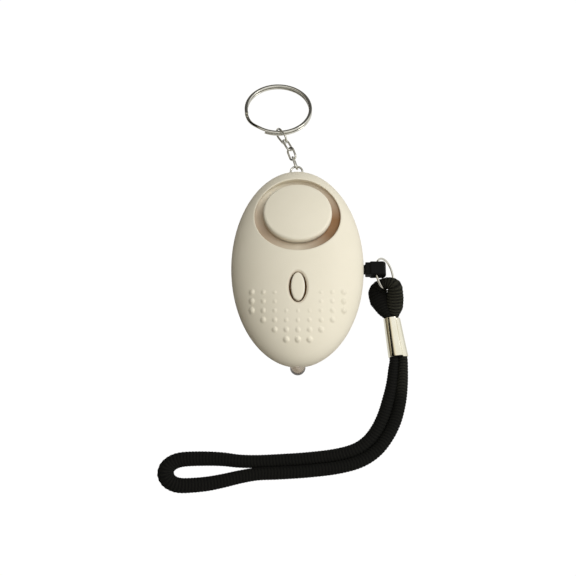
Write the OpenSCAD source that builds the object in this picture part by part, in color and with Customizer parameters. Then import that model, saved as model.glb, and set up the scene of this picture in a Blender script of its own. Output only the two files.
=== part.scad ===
// Personal safety alarm: egg-shaped case with siren, lamp button, pull pin on a wrist strap,
// and key ring on a chain. Millimetres. z = 0 is the table under the flat of the back,
// +Z points out of the front, +Y to the key ring and +X to the pin.

/* [Case] */
// Width of the case across its widest section
body_w = 43.5; // [42:0.5:48]
// Length of the case from end to end
body_l = 69.6; // [68:0.5:76]
// Height of the front above the parting plane
front_rise = 11.4; // [11.2:0.1:13]
// Depth of the back's full curve below the parting plane
back_rise = 12.2; // [11.9:0.1:13.5]
// How much of the back's curve is cut off flat, so that the case lies still
flat_depth = 0.9; // [0.5:0.1:1.2]
// Wall thickness of both shells
wall = 1.6; // [1.4:0.1:1.8]
// How far the back shell stands inside the front shell at the seam
seam_step = 0.15; // [0.1:0.05:0.3]

/* [Siren] */
// Distance of the siren's axis from the middle of the case
siren_y = 15.1; // [14.6:0.1:15.6]
// Diameter of the round recess in the front
recess_d = 28.2; // [27:0.1:28.6]
// Height of the recess floor above the parting plane
floor_rise = 3.5; // [3.2:0.1:3.8]
// Diameter of the siren cap
cap_d = 22.6; // [20:0.1:23.2]
// Thickness of the cap at its middle
cap_t = 3.2; // [2.6:0.1:3.5]
// Tilt of the cap, which follows the slope of the front
cap_tilt = 9.5; // [7:0.5:11]
// How far the middle of the cap's face lies beyond the siren's axis
cap_lean = 1; // [0.6:0.1:1.4]
// Diameter of the cap's stem
cap_stem_d = 8; // [6:0.5:10]
// Depth of the moat round the cap, from the cap's face
moat_d = 4.2; // [3.8:0.1:4.3]
// Diameter of each sound hole in the recess floor
sound_hole_d = 2.4; // [1.6:0.1:3]
// Number of sound holes
sound_holes = 8; // [5:1:10]
// Diameter of the sounder's brass plate
piezo_d = 27; // [26:0.5:28]
// Thickness of the brass plate
piezo_t = 0.4; // [0.3:0.1:0.6]
// Diameter of the ceramic layer under the plate
ceramic_d = 19; // [16:0.5:22]

/* [Lamp button] */
// Distance of the button's middle from the middle of the case
button_y = -11.4; // [-12:0.1:-11]
// Width of the button
button_w = 4.4; // [4:0.1:4.8]
// Length of the button
button_l = 9.1; // [8:0.1:9.6]
// Gap on each side of the button in its hole
button_gap = 0.6; // [0.4:0.05:0.7]
// Gap between the button's ends and the case
button_end_gap = 0.4; // [0.25:0.05:0.6]
// How far the button stands proud of the front
button_proud = 0.3; // [0.1:0.05:0.6]
// Stroke of the button
button_stroke = 0.4; // [0.2:0.05:0.5]

/* [Grip dots] */
// Spacing of the dots across the case
dot_pitch_x = 3.65; // [3.4:0.05:3.8]
// Spacing of the rows of dots
dot_pitch_y = 2.87; // [2.7:0.01:2.95]
// Distance of the first row from the middle of the case
dot_y = -13.5; // [-13.7:0.1:-13.3]
// Bow of the rows, as the distance a dot moves up for each square millimetre of its distance to the side
dot_bow = 0.0065; // [0.005:0.0005:0.008]
// Diameter of the smallest dots, below the button
dot_d = 1; // [0.9:0.05:1.1]
// How much wider a dot is at the side of the field or in its lowest row
dot_grow = 0.95; // [0.8:0.05:1]
// Radius of the ball that each dot is a cap of
dot_r = 1.35; // [1.3:0.05:1.4]

/* [Lamp] */
// Diameter of the lamp
led_d = 5; // [4.6:0.1:5.4]
// How far the lamp's tip stands out of the end of the case
led_out = 1.9; // [1.6:0.1:2.4]
// How far the lamp's axis lies below the parting plane
led_drop = 2; // [1.8:0.1:2.2]
// Length of the lamp's body
led_l = 8.6; // [8:0.1:9.4]

/* [Cells and board] */
// Diameter of a button cell
cell_d = 11.6; // [11:0.1:11.8]
// Thickness of a button cell
cell_t = 5.4; // [4.8:0.1:5.6]
// Distance of the row of cells from the middle of the case
cell_y = -12; // [-13:0.1:-11]
// Thickness of the circuit board
board_t = 1; // [0.8:0.1:1.2]
// Diameter of a screw's shank
screw_d = 2; // [1.8:0.1:2.2]
// Diameter of a screw's head
screw_head_d = 3.6; // [3.2:0.1:3.8]

/* [Pull pin] */
// Distance of the pin from the middle of the case
pin_y = -1.1; // [-1.4:0.1:-0.8]
// Width of the pin's blade
blade_w = 3; // [2.6:0.1:3.2]
// Thickness of the pin's blade
blade_t = 1.6; // [1.2:0.1:2]
// Length of the blade inside the case
blade_l = 12.5; // [11.5:0.1:13]
// Length of the pin's head
head_l = 6.8; // [6.4:0.1:8]
// Clearance between the blade and its slot
pin_clear = 0.1; // [0.05:0.01:0.15]
// Mean diameter of the ring in the pin's eye
pin_ring_d = 11; // [10.6:0.1:11.6]
// Wire thickness of that ring
pin_ring_wire = 0.75; // [0.6:0.05:0.85]
// Slope of that ring as it hangs from the eye
pin_ring_slope = 54; // [50:1:58]

/* [Wrist strap] */
// Width of the cord
cord_w = 3.8; // [3.4:0.1:4]
// Thickness of the cord
cord_t = 3.4; // [3:0.1:3.8]
// Length of the crimped ferrule
ferrule_l = 13; // [11:0.5:15]
// Wall thickness of the ferrule
ferrule_wall = 0.35; // [0.25:0.05:0.5]

/* [Chain and key ring] */
// Length of a chain link
link_l = 5.6; // [5.2:0.1:6]
// Width of a chain link
link_w = 3.1; // [2.9:0.1:3.6]
// Wire thickness of the chain
link_wire = 0.75; // [0.6:0.05:0.85]
// Length of the end link that holds the key ring
end_link_l = 6.8; // [6.2:0.1:7.4]
// Width of the end link
end_link_w = 4.6; // [4.4:0.1:5.2]
// Mean diameter of the key ring
key_ring_d = 23; // [20:0.5:26]
// Width of the key ring's flat wire
key_wire_w = 1.2; // [1:0.05:1.3]
// Thickness of the key ring's flat wire
key_wire_t = 0.7; // [0.6:0.05:0.75]
// Gap between the key ring's two turns
key_turn_gap = 0.42; // [0.41:0.01:0.5]

/* [Hidden] */
$fn = 96;

half_w = body_w / 2;
half_l = body_l / 2;
parting_z = back_rise - flat_depth;
embed = 0.6;
seat_gap = 0.05;

// Heights of the two outer curves and of the front's inner curve
function dome(x, y, w, l, h) = h * sqrt(max(0, 1 - pow(x / w, 2) - pow(y / l, 2)));
function front_z(x, y) = parting_z + dome(x, y, half_w, half_l, front_rise);
function front_in_z(x, y) = parting_z + dome(x, y, half_w - wall, half_l - wall, front_rise - wall);
function back_z(x, y) = parting_z - dome(x, y, half_w, half_l, back_rise);
function back_in_z(x, y) = parting_z - dome(x, y, half_w - wall, half_l - wall, back_rise - wall);
function unit(v) = v / norm(v);

// Siren stack
recess_r = recess_d / 2;
floor_z = parting_z + floor_rise;
floor_t = 1.2;
chamber_h = 1.2;
piezo_z = floor_z - floor_t - chamber_h;
cap_r = cap_d / 2;
drum_in = 0.25;
drum_gap = 0.5;
drum_play = 0.35;
cap_y = siren_y + cap_lean;
cap_top = front_z(0, cap_y);
cap_crown = 50;
cap_edge = 1.1;

// Row of cells, the board over it and what stands on the board
cell_n = 3;
cells_l = cell_n * cell_t + (cell_n - 1) * seat_gap;
cell_z = max(wall, back_in_z(cells_l / 2, cell_y)) + cell_d / 2 + seat_gap;
board_z = cell_z + cell_d / 2 + seat_gap;
board_top = board_z + board_t;
hole_w = button_w + 2 * button_gap;
hole_l = button_l + 2 * button_end_gap;
flange_w = hole_w + 1.8;
flange_l = hole_l + 1.8;
flange_t = 0.9;
flange_z = front_in_z(flange_w / 4, button_y - flange_l / 2) - 0.3 - flange_t;
switch_h = flange_z - board_top - button_stroke - 0.3;
contact_t = 0.4;
contact_x = cells_l / 2 + seat_gap;

// Screws: two beside the siren, two beside the cells
post_r = screw_head_d / 2 + 0.6;
screw_in = 6.85;
screw_x = half_w - screw_in;
screw_y = siren_y - sqrt(pow(recess_r + wall + post_r + 0.12, 2) - screw_x * screw_x);
low_screw_x = 12;
low_screw_y = -16;
screw_at = [
    [screw_x, screw_y],
    [-screw_x, screw_y],
    [low_screw_x, low_screw_y],
    [-low_screw_x, low_screw_y]
];
boss_r = screw_d / 2 + 1.1;
screw_head_h = 1.3;
function screw_seat(p) = back_z(p[0], p[1]) + 3;
function screw_tip(p) = front_z(abs(p[0]) + screw_d / 2, abs(p[1]) + screw_d / 2) - 1;

// Pull pin, its eye and its ring
slot_w = blade_w + 2 * pin_clear;
slot_t = blade_t + 2 * pin_clear;
head_x = half_w + 0.5;
neck_w = 4.3;
eye_x = head_x + head_l - 3.15;
eye_r = 0.95;
head_w = 4.6;
head_t = 3.8;
ring_r = pin_ring_d / 2;
ring_dir = [cos(pin_ring_slope), 0, -sin(pin_ring_slope)];
ring_sag = (ring_r - sqrt(ring_r * ring_r - pow(head_w / 2, 2))) / 2;
ring_at = [eye_x, pin_y, parting_z] + (ring_r - ring_sag) * ring_dir;
blade_tip = half_w - blade_l;
leaf_t = 0.25;
leaf_w = 2.4;
leaf_x = blade_tip + 0.4;

// Strap: the ferrule's two ends, and the strands' spread in it
ferrule_top = ring_at + [2.01, -14.6, 4.6 - ring_at[2]];
ferrule_dir = unit([1.9, -12.6, -2.1]);
ferrule_mid = ferrule_top + ferrule_dir * ferrule_l / 2;
ferrule_end = ferrule_top + ferrule_dir * ferrule_l;
ferrule_side = unit(cross([0, 0, 1], ferrule_dir));
ferrule_up = cross(ferrule_dir, ferrule_side);
strand_gap = 0.06;
strand_w = 2.85;
strand_t = 3.7;
strand_room = 0.3;
strand_off = (strand_w + strand_gap) / 2;

// Head loop: a half turn round the ring's lower arc, and two legs down to the ferrule
loop_turn = 10;
loop_out = sin(loop_turn) * ring_dir - [0, cos(loop_turn), 0];
loop_at = ring_at + ring_r * loop_out;
loop_side = [sin(pin_ring_slope), 0, cos(pin_ring_slope)];
loop_up = -cos(loop_turn) * ring_dir - [0, sin(loop_turn), 0];
loop_cord = 3.8;
loop_h = 3.6;
loop_r = loop_cord / 2 + pin_ring_wire / 2 + 0.25;
loop_half = 3.4;
loop_lean = 0.3;
function loop_point(a) =
    loop_at - (loop_lean + loop_half * cos(a)) * loop_side - loop_r * sin(a) * loop_out;
function blend(p, q, t) = p * (1 - t) + q * t;
leg_l = [ferrule_top - strand_off * ferrule_side, loop_point(0)];
leg_r = [ferrule_top + strand_off * ferrule_side, loop_point(180)];
head_route = [
    ferrule_mid - strand_off * ferrule_side,
    leg_l[0],
    blend(leg_l[0], leg_l[1], 0.35) + [-0.5, 0, 0],
    blend(leg_l[0], leg_l[1], 0.7) + [-0.6, 0, 0],
    leg_l[1],
    loop_point(30),
    loop_point(60),
    loop_point(90),
    loop_point(120),
    loop_point(150),
    leg_r[1],
    blend(leg_r[0], leg_r[1], 0.7) + [0.6, 0, 0],
    blend(leg_r[0], leg_r[1], 0.35) + [0.5, 0, 0],
    leg_r[0],
    ferrule_mid + strand_off * ferrule_side
];
head_turn = [0, 0, 0.3, 0.8, 1, 1, 1, 1, 1, 1, 1, 0.8, 0.3, 0, 0];
head_ups = [for (t = head_turn) unit(blend(ferrule_up, loop_up, t))];
head_ws = [for (t = head_turn) blend(strand_w, loop_cord, t)];
head_ts = [for (t = head_turn) blend(strand_t, loop_h, t)];

// Wrist loop: middle line of the two strands on the table, with half their spread, from the ferrule outwards
strap_shift = [ferrule_end[0] - 32.9, ferrule_end[1] + 28.3, 0];
wrist_line = [
    [32.7, -32.5, 1.95],
    [32.1, -37.7, 2],
    [31, -43, 2],
    [29.2, -48.8, 2],
    [26.6, -53.8, 2],
    [23.2, -57.9, 2],
    [18.6, -60.8, 2],
    [12, -62.6, 2],
    [3, -63.7, 2],
    [-6, -64.3, 2],
    [-12.8, -64.6, 2],
    [-18.2, -65, 2.5],
    [-23.4, -65.3, 3.4],
    [-28.6, -65.7, 4],
    [-34, -66, 4.2],
    [-37.6, -66.2, 4],
    [-40, -66.4, 3.2],
    [-41.6, -66.6, 1.8]
];
wrist_tip = [-42.2, -66.7, cord_t / 2] + strap_shift;
function wrist_mid(i) = [wrist_line[i][0], wrist_line[i][1], cord_t / 2] + strap_shift;
function wrist_next(i) = i + 1 < len(wrist_line) ? wrist_mid(i + 1) : wrist_tip;
function wrist_last(i) = i > 0 ? wrist_mid(i - 1) : ferrule_end;
function wrist_side(i) = unit(cross([0, 0, 1], unit(wrist_next(i) - wrist_last(i))));
function wrist_half(i) = wrist_line[i][2] * max(1, (cord_w + 0.1) / 4);
function wrist_strand(i, s) = wrist_mid(i) + s * wrist_half(i) * wrist_side(i);
wrist_n = len(wrist_line);
wrist_route = concat(
    [ferrule_mid - strand_off * ferrule_side, ferrule_end - strand_off * ferrule_side],
    [for (i = [0 : wrist_n - 1]) wrist_strand(i, -1)],
    [wrist_tip],
    [for (i = [wrist_n - 1 : -1 : 0]) wrist_strand(i, 1)],
    [ferrule_end + strand_off * ferrule_side, ferrule_mid + strand_off * ferrule_side]
);
wrist_m = len(wrist_route);
function wrist_open(i) = min(1, max(0, min(i, wrist_m - 1 - i) - 1));
wrist_ups = [for (i = [0 : wrist_m - 1]) unit(blend(ferrule_up, [0, 0, 1], wrist_open(i)))];
wrist_ws = [for (i = [0 : wrist_m - 1]) blend(strand_w, cord_w, wrist_open(i))];
wrist_ts = [for (i = [0 : wrist_m - 1]) blend(strand_t, cord_t, wrist_open(i))];

// Chain: each link starts one wire inside the last one's front end, with its own heading, fall and roll
lug_y = half_l + 0.7;
lug_z = parting_z - 3.7;
lug_w = 2;
lug_root = 4.5;
lug_hole_r = link_wire / 2 + 0.4;
lug_ring_d = 4.8;
lug_ring_r = (lug_ring_d - link_wire) / 2;
lug_sag = (lug_ring_r - sqrt(lug_ring_r * lug_ring_r - pow(lug_w / 2, 2))) / 2;
chain_gap = 0.15;
chain_turn = [4, 16, 18, 26, 32, -2.5];
chain_fall = [2, 3, 4, 6, 8];
chain_roll = [0, 72, 144, 36, 108, 0];
chain_len = [
    2 * lug_ring_r,
    link_l - link_wire,
    link_l - link_wire,
    link_l - link_wire,
    end_link_l - link_wire,
    key_ring_d
];
key_reach = key_wire_w / 2 + link_wire / 2 + chain_gap;
key_stack = 2 * key_wire_t + key_turn_gap;
key_far = key_ring_d - key_reach + key_wire_w / 2;
function fall(i) = i < 5 ? chain_fall[i] : asin((chain_front(4)[2] - key_stack / 2 - 0.03) / key_far);
function heading(i) = [
    -sin(chain_turn[i]) * cos(fall(i)),
    cos(chain_turn[i]) * cos(fall(i)),
    -sin(fall(i))
];
function hold(i) = i == 5 ? key_reach : link_wire + chain_gap;
function chain_rear(i) = i == 0 ? [0, lug_y, lug_z] - lug_sag * heading(0)
    : chain_front(i - 1) - hold(i) * heading(i);
function chain_front(i) = chain_rear(i) + chain_len[i] * heading(i);
key_step = key_wire_t + key_turn_gap;
key_steps = 40;
key_ramp = 4;
key_at = 132;
function key_angle(i) = key_at + (i - key_steps) * 360 / key_steps;
function key_height(i) = key_step * (min(1, max(0, (i - key_steps + key_ramp / 2) / key_ramp)) - 0.5);
key_from = key_ramp / 2 + 1;
key_to = 2 * key_steps - key_from;
key_line = [
    for (i = [key_from : key_to])
        [key_ring_d / 2 * cos(key_angle(i)), key_ring_d / 2 * sin(key_angle(i)), key_height(i)]
];
key_self_gap = min([
    for (i = [0 : len(key_line) - 1], j = [0 : len(key_line) - 1])
        if (j > i + key_steps / 2) norm(key_line[i] - key_line[j]) - key_wire_t
]);
echo(key_ring_least_gap_to_itself = key_self_gap);

// One tube: a rounded section with n sides, carried along a route of points
function tube_ring(p, t, up, w, h, n) = let (side = unit(cross(t, up)), top = cross(side, t)) [
    for (k = [0 : n - 1]) p + w / 2 * cos(360 * k / n) * side + h / 2 * sin(360 * k / n) * top
];
function along(r, i) = unit(r[min(i + 1, len(r) - 1)] - r[max(i - 1, 0)]);
module tube(route, ups, ws, hs, n) {
    m = len(route);
    points = [
        for (i = [0 : m - 1]) each tube_ring(route[i], along(route, i), ups[i], ws[i], hs[i], n)
    ];
    skin = [
        for (i = [0 : m - 2], k = [0 : n - 1]) let (a = i * n + k, b = i * n + (k + 1) % n)
            each [[a, a + n, b + n], [a, b + n, b]]
    ];
    caps = [[for (k = [0 : n - 1]) k], [for (k = [n - 1 : -1 : 0]) (m - 1) * n + k]];
    polyhedron(points, concat(skin, caps));
}
module wire(route, d, n) {
    tube(route, [for (i = route) [1, 0, 0]], [for (i = route) d], [for (i = route) d], n);
}

// Building blocks
module egg(inset, rise) {
    translate([0, 0, parting_z])
        scale([half_w - inset, half_l - inset, rise - inset])
            rotate([-90, 0, 0])
                sphere(1);
}
module above(z) {
    translate([-body_l, -body_l, z])
        cube([2 * body_l, 2 * body_l, body_l]);
}
module below(z) {
    translate([-body_l, -body_l, z - body_l])
        cube([2 * body_l, 2 * body_l, body_l]);
}
module oval(w, l, h) {
    scale([w / 2, l / 2, 1])
        cylinder(r = 1, h = h);
}
module at_screws() {
    for (p = screw_at)
        translate([p[0], p[1], 0])
            children();
}
module led_hole() {
    translate([0, 1 - half_l, led_z])
        rotate([90, 0, 0])
            cylinder(d = led_d + 0.1, h = 20, center = true);
}
module pin_slot() {
    translate([blade_tip - 1, pin_y - slot_w / 2, parting_z - slot_t / 2])
        cube([blade_l + 10, slot_w, slot_t]);
}
module pin_guide() {
    translate([half_w - 6.2, pin_y - slot_w / 2 - 0.9, parting_z - slot_t / 2 - 0.9])
        cube([6, slot_w + 1.8, slot_t + 1.8]);
}
module place(i) {
    translate(chain_rear(i))
        rotate([0, 0, 90 + chain_turn[i]])
            rotate([0, fall(i), 0])
                rotate([chain_roll[i], 0, 0])
                    children();
}
module link(len, w, d) {
    r = (w - d) / 2;
    s = len - w;
    translate([r, 0, 0]) {
        rotate([0, 0, 90])
            rotate_extrude(angle = 180)
                translate([r, 0])
                    circle(d / 2);
        translate([s, 0, 0])
            rotate([0, 0, -90])
                rotate_extrude(angle = 180)
                    translate([r, 0])
                        circle(d / 2);
        for (y = [-r, r])
            translate([0, y, 0])
                rotate([0, 90, 0])
                    cylinder(d = d, h = s);
    }
}

// Front half of the case: siren recess with its sound holes, button hole, grip dots, screw bosses
dot_root = 0.5 * wall;
dot_rows = [[2, 4], [2, 4], [0, 4], [0, 3], [0, 2], [0, 1]];
function front_n(x, y) =
    unit([x / pow(half_w, 2), y / pow(half_l, 2), (front_z(x, y) - parting_z) / pow(front_rise, 2)]);
module dots() {
    for (k = [0 : len(dot_rows) - 1], c = [-4 : 4])
        if (abs(c) >= dot_rows[k][0] && abs(c) <= dot_rows[k][1]) {
            x = c * dot_pitch_x;
            y = dot_y - k * dot_pitch_y + dot_bow * x * x;
            d = dot_d + dot_grow * (pow(c / 4, 2) + pow(k / 5, 2));
            translate([x, y, front_z(x, y)])
                intersection() {
                    translate(-sqrt(dot_r * dot_r - d * d / 4) * front_n(x, y))
                        sphere(dot_r);
                    translate([-5, -5, -dot_root])
                        cube(10);
                }
        }
}
// Recess round the cap: its floor slopes as the cap does, and a bore in it takes the cap's drum
module siren_recess() {
    intersection() {
        translate([0, siren_y, floor_z])
            cylinder(r = recess_r, h = 30);
        translate([0, cap_y, cap_top])
            rotate([-cap_tilt, 0, 0])
                translate([-body_l, -body_l, -moat_d])
                    cube(2 * body_l);
    }
    difference() {
        cap_post(cap_d - 2 * drum_in + 2 * drum_play);
        below(floor_z);
    }
}

module front_shell() {
    color("#e6dfc9")
        difference() {
            union() {
                difference() {
                    egg(0, front_rise);
                    egg(wall, front_rise);
                    below(parting_z);
                }
                intersection() {
                    egg(embed, front_rise);
                    union() {
                        translate([0, siren_y, piezo_z])
                            cylinder(r = recess_r + wall, h = 30);
                        at_screws()
                            translate([0, 0, board_top + seat_gap])
                                cylinder(r = boss_r, h = 20);
                        intersection() {
                            pin_guide();
                            above(parting_z);
                        }
                    }
                }
                dots();
            }
            siren_recess();
            translate([0, siren_y, piezo_z - 1])
                cylinder(r = piezo_d / 2 - 1.2, h = chamber_h + 1);
            for (k = [0 : sound_holes - 1])
                translate([0, siren_y, floor_z - floor_t - 1])
                    rotate([0, 0, k * 360 / sound_holes])
                        translate([cap_r - 2.4, 0, 0])
                            cylinder(d = sound_hole_d, h = floor_t + 2);
            translate([0, button_y, parting_z])
                oval(hole_w, hole_l, 30);
            translate([0, button_y, front_z(0, button_y) - 0.35])
                oval(hole_w + 1.2, hole_l + 1.2, 5);
            for (p = screw_at)
                translate([p[0], p[1], 0])
                    cylinder(d = screw_d + 2 * seat_gap, h = screw_tip(p) + 0.3);
            led_hole();
            pin_slot();
        }
}

// Back half: flat to lie on, screw posts, cradle for the cells, lug for the chain
module back_shell() {
    color("#dcd4bb")
        difference() {
            union() {
                difference() {
                    egg(seam_step, back_rise + seam_step);
                    intersection() {
                        egg(wall, back_rise);
                        above(wall);
                    }
                    above(parting_z);
                }
                intersection() {
                    egg(embed, back_rise);
                    union() {
                        at_screws()
                            cylinder(r = post_r, h = board_z - seat_gap);
                        for (x = [-cell_t, cell_t])
                            translate([x - 0.6, cell_y - cell_d / 2, 0])
                                cube([1.2, cell_d, cell_z - 2.5]);
                        intersection() {
                            pin_guide();
                            below(parting_z);
                        }
                    }
                }
                translate([-lug_w / 2, half_l - lug_root, lug_z - 1.6])
                    cube([lug_w, lug_y - half_l + lug_root, 3.2]);
                translate([-lug_w / 2, lug_y, lug_z])
                    rotate([0, 90, 0])
                        cylinder(r = 1.6, h = lug_w);
            }
            below(0);
            translate([0, cell_y, cell_z])
                rotate([0, 90, 0])
                    cylinder(d = cell_d + 2 * seat_gap, h = cells_l, center = true);
            for (p = screw_at)
                translate([p[0], p[1], 0]) {
                    cylinder(d = screw_d + 0.3, h = 40);
                    cylinder(d = screw_head_d + 0.3, h = screw_seat(p));
                }
            led_hole();
            pin_slot();
            translate([0, lug_y, lug_z])
                rotate([0, 90, 0])
                    cylinder(r = lug_hole_r, h = 10, center = true);
        }
}

// Siren cap on its stem, turned in one profile and tilted with the front
module cap_profile() {
    difference() {
        intersection() {
            translate([0, -cap_crown])
                circle(cap_crown);
            union() {
                translate([0, -cap_t])
                    square([cap_r - cap_edge, cap_t]);
                translate([0, -cap_t])
                    square([cap_r, cap_t - cap_edge - 1.3]);
                translate([cap_r - cap_edge, -cap_edge - 1.3])
                    circle(cap_edge);
            }
        }
        translate([-20, -50])
            square([20, 100]);
    }
}
module cap_post(d) {
    translate([0, cap_y, cap_top])
        rotate([-cap_tilt, 0, 0])
            translate([0, 0, -20])
                cylinder(d = d, h = 19);
}

module siren_cap() {
    color("#e6dfc9")
        union() {
            translate([0, cap_y, cap_top])
                rotate([-cap_tilt, 0, 0])
                    rotate_extrude()
                        cap_profile();
            difference() {
                cap_post(cap_d - 2 * drum_in);
                below(floor_z + drum_gap);
            }
            difference() {
                cap_post(cap_stem_d);
                below(floor_z);
            }
        }
}

// Sounder: brass plate glued under the recess, ceramic layer on its underside, two wires to the board
module piezo_plate() {
    color("#c9a24a")
        translate([0, siren_y, piezo_z - piezo_t])
            cylinder(d = piezo_d, h = piezo_t);
}
module piezo_ceramic() {
    color("#e9e4da")
        translate([0, siren_y, piezo_z - piezo_t - 0.3])
            cylinder(d = ceramic_d, h = 0.3);
}
wire_d = 0.9;
seat_y = siren_y - recess_r - wall;
function wire_route(x, y, z) = [
    [x, seat_y - 2.4, board_z - wire_d / 2],
    [x, seat_y - 1.6, board_z - wire_d / 2 - 0.25],
    [x, seat_y - 0.8, piezo_z + 0.2],
    [x, seat_y - 0.3, piezo_z - 0.6],
    [x, seat_y + 1, piezo_z - 1],
    [x, y - 1.4, z - wire_d / 2],
    [x, y, z - wire_d / 2]
];
module piezo_wire_red() {
    color("#b3201c")
        wire(wire_route(-3, siren_y - 6, piezo_z - piezo_t - 0.3), wire_d, 8);
}
module piezo_wire_black() {
    color("#1b1b1b")
        wire(wire_route(3, siren_y - 11, piezo_z - piezo_t), wire_d, 8);
}

// Board under the front, held between the screw posts and the screw bosses
board_fit = sqrt(1 - pow((board_top - parting_z) / (front_rise - wall), 2));
board_rx = (half_w - wall) * board_fit - 0.5;
board_ry = (half_l - wall) * board_fit - 0.5;
board_head = 0.5;
board_foot = 26;
bay_x = 7;
bay_y = 6;
module circuit_board() {
    color("#3f6b35")
        difference() {
            translate([0, 0, board_z])
                scale([board_rx, board_ry, 1])
                    cylinder(r = 1, h = board_t);
            translate([0, siren_y, 0])
                cylinder(r = recess_r + wall + 0.5, h = 40);
            translate([-body_l, -board_head, 0])
                cube([2 * body_l, body_l, 40]);
            translate([-body_l, -board_foot - body_l, 0])
                cube([2 * body_l, body_l, 40]);
            translate([half_w - bay_x, -bay_y, 0])
                cube([body_l, body_l, 40]);
            at_screws()
                cylinder(d = screw_d + 0.3, h = 40);
        }
}
module driver_chip() {
    color("#202020")
        translate([-9.5, -8, board_top]) {
            translate([-2.5, -2, 0.1])
                cube([5, 4, 1.4]);
            for (x = [-1.9 : 1.27 : 1.95], s = [-1, 1])
                translate([x - 0.2, s * 2.5 - 0.6, 0])
                    cube([0.4, 1.2, 0.3]);
        }
}
module boost_coil() {
    color("#3a3a3c")
        translate([9.5, -9, board_top]) {
            cylinder(d = 5.4, h = 0.6);
            cylinder(d = 3.6, h = 2.6);
            translate([0, 0, 2])
                cylinder(d = 5.4, h = 0.6);
        }
}
module transistor() {
    color("#242424")
        translate([-4.5, -20.5, board_top]) {
            translate([-1.5, -0.8, 0.1])
                cube([3, 1.6, 1]);
            for (p = [[-0.95, -1.2], [0.95, -1.2], [0, 1.2]])
                translate([p[0] - 0.25, p[1] - 0.5, 0])
                    cube([0.5, 1, 0.3]);
        }
}

// Push switch under the button: its stem rides with the button
module switch_base() {
    color("#2a2a2c")
        translate([0, button_y, board_top])
            difference() {
                translate([-3, -3, 0])
                    cube([6, 6, switch_h]);
                translate([0, 0, 0.3])
                    cylinder(d = 3.3, h = 10);
            }
}
module switch_stem() {
    color("#a8702c")
        translate([0, button_y, board_top + 0.3 + button_stroke + 0.15])
            cylinder(d = 3.2, h = flange_z - board_top - 0.3 - button_stroke - 0.15);
}
module led_button() {
    color("#e6dfc9")
        translate([0, button_y, 0]) {
            intersection() {
                translate([0, 0, flange_z + flange_t / 2])
                    oval(button_w, button_l, 20);
                translate([0, -button_y, 0])
                    egg(-button_proud, front_rise);
            }
            translate([0, 0, flange_z])
                oval(flange_w, flange_l, flange_t);
        }
}

// Lamp in the end of the case
led_base = led_l - led_out - half_l;
led_z = parting_z - led_drop;
module led_lamp() {
    color("#cfc6b4")
        translate([0, led_base, led_z])
            rotate([90, 0, 0]) {
                cylinder(d = led_d, h = led_l - led_d / 2);
                translate([0, 0, led_l - led_d / 2])
                    sphere(d = led_d);
            }
}
module led_leads() {
    color("#c8c8c8")
        for (x = [-1.27, 1.27]) {
            translate([x - 0.25, led_base, led_z - 0.25])
                cube([0.5, -23.6 - led_base, 0.5]);
            translate([x - 0.25, -24.1, led_z - 0.25])
                cube([0.5, 0.5, board_z - led_z + 0.25]);
        }
}

// Row of button cells in its cradle, with a contact at each end
module button_cells() {
    color("#c4c6c8")
        for (k = [0 : cell_n - 1])
            translate([-cells_l / 2 + k * (cell_t + seat_gap), cell_y, cell_z])
                rotate([0, 90, 0]) {
                    cylinder(d = cell_d, h = cell_t - 0.5);
                    cylinder(d = cell_d - 2.4, h = cell_t);
                }
}
module contact() {
    translate([0, cell_y - 3.5, cell_z - 3.5])
        cube([contact_t, 7, board_z - cell_z + 3.5]);
}
module positive_contact() {
    color("#d9dadb")
        translate([contact_x, 0, 0])
            contact();
}
module negative_contact() {
    color("#d9dadb")
        translate([-contact_x - contact_t, 0, 0])
            contact();
}

// Two springs that the pin's blade holds apart
module leaf(points) {
    translate([leaf_x + leaf_w, 0, 0])
        rotate([0, -90, 0])
            linear_extrude(leaf_w)
                polygon(points);
}
leaf_hi = parting_z + blade_t / 2 + seat_gap;
leaf_lo = parting_z - blade_t / 2 - seat_gap;
module alarm_contact_upper() {
    color("#b98b3d")
        leaf([
            [board_z, pin_y - 5],
            [board_z, pin_y - 2.6],
            [board_z - leaf_t, pin_y - 2.6],
            [board_z - leaf_t, pin_y - 4.6],
            [leaf_hi + leaf_t, pin_y - 2.2],
            [leaf_hi + leaf_t, pin_y + 1.2],
            [leaf_hi, pin_y + 1.2],
            [leaf_hi, pin_y - 2.4],
            [board_z - leaf_t, pin_y - 5]
        ]);
}
module alarm_contact_lower() {
    color("#b98b3d")
        leaf([
            [board_z, pin_y - 8],
            [board_z, pin_y - 5.6],
            [board_z - leaf_t, pin_y - 5.6],
            [leaf_lo - leaf_t + 1.2, pin_y - 2.9],
            [leaf_lo, pin_y - 2.4],
            [leaf_lo, pin_y + 1.2],
            [leaf_lo - leaf_t, pin_y + 1.2],
            [leaf_lo - leaf_t, pin_y - 2.6],
            [leaf_lo - leaf_t + 1.1, pin_y - 3.2],
            [board_z - leaf_t, pin_y - 6],
            [board_z - leaf_t, pin_y - 8]
        ]);
}

// Screws from the back into the front's bosses
module case_screws() {
    color("#b4b6b9")
        for (p = screw_at)
            translate([p[0], p[1], 0])
                difference() {
                    union() {
                        translate([0, 0, screw_seat(p) - screw_head_h])
                            cylinder(d = screw_head_d, h = screw_head_h);
                        translate([0, 0, screw_seat(p) - 0.2])
                            cylinder(d = screw_d, h = screw_tip(p) - screw_seat(p) + 0.2);
                    }
                    for (a = [0, 90])
                        translate([0, 0, screw_seat(p) - screw_head_h])
                            rotate([0, 0, a])
                                cube([2.2, 0.5, 1.2], center = true);
                }
}

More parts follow.
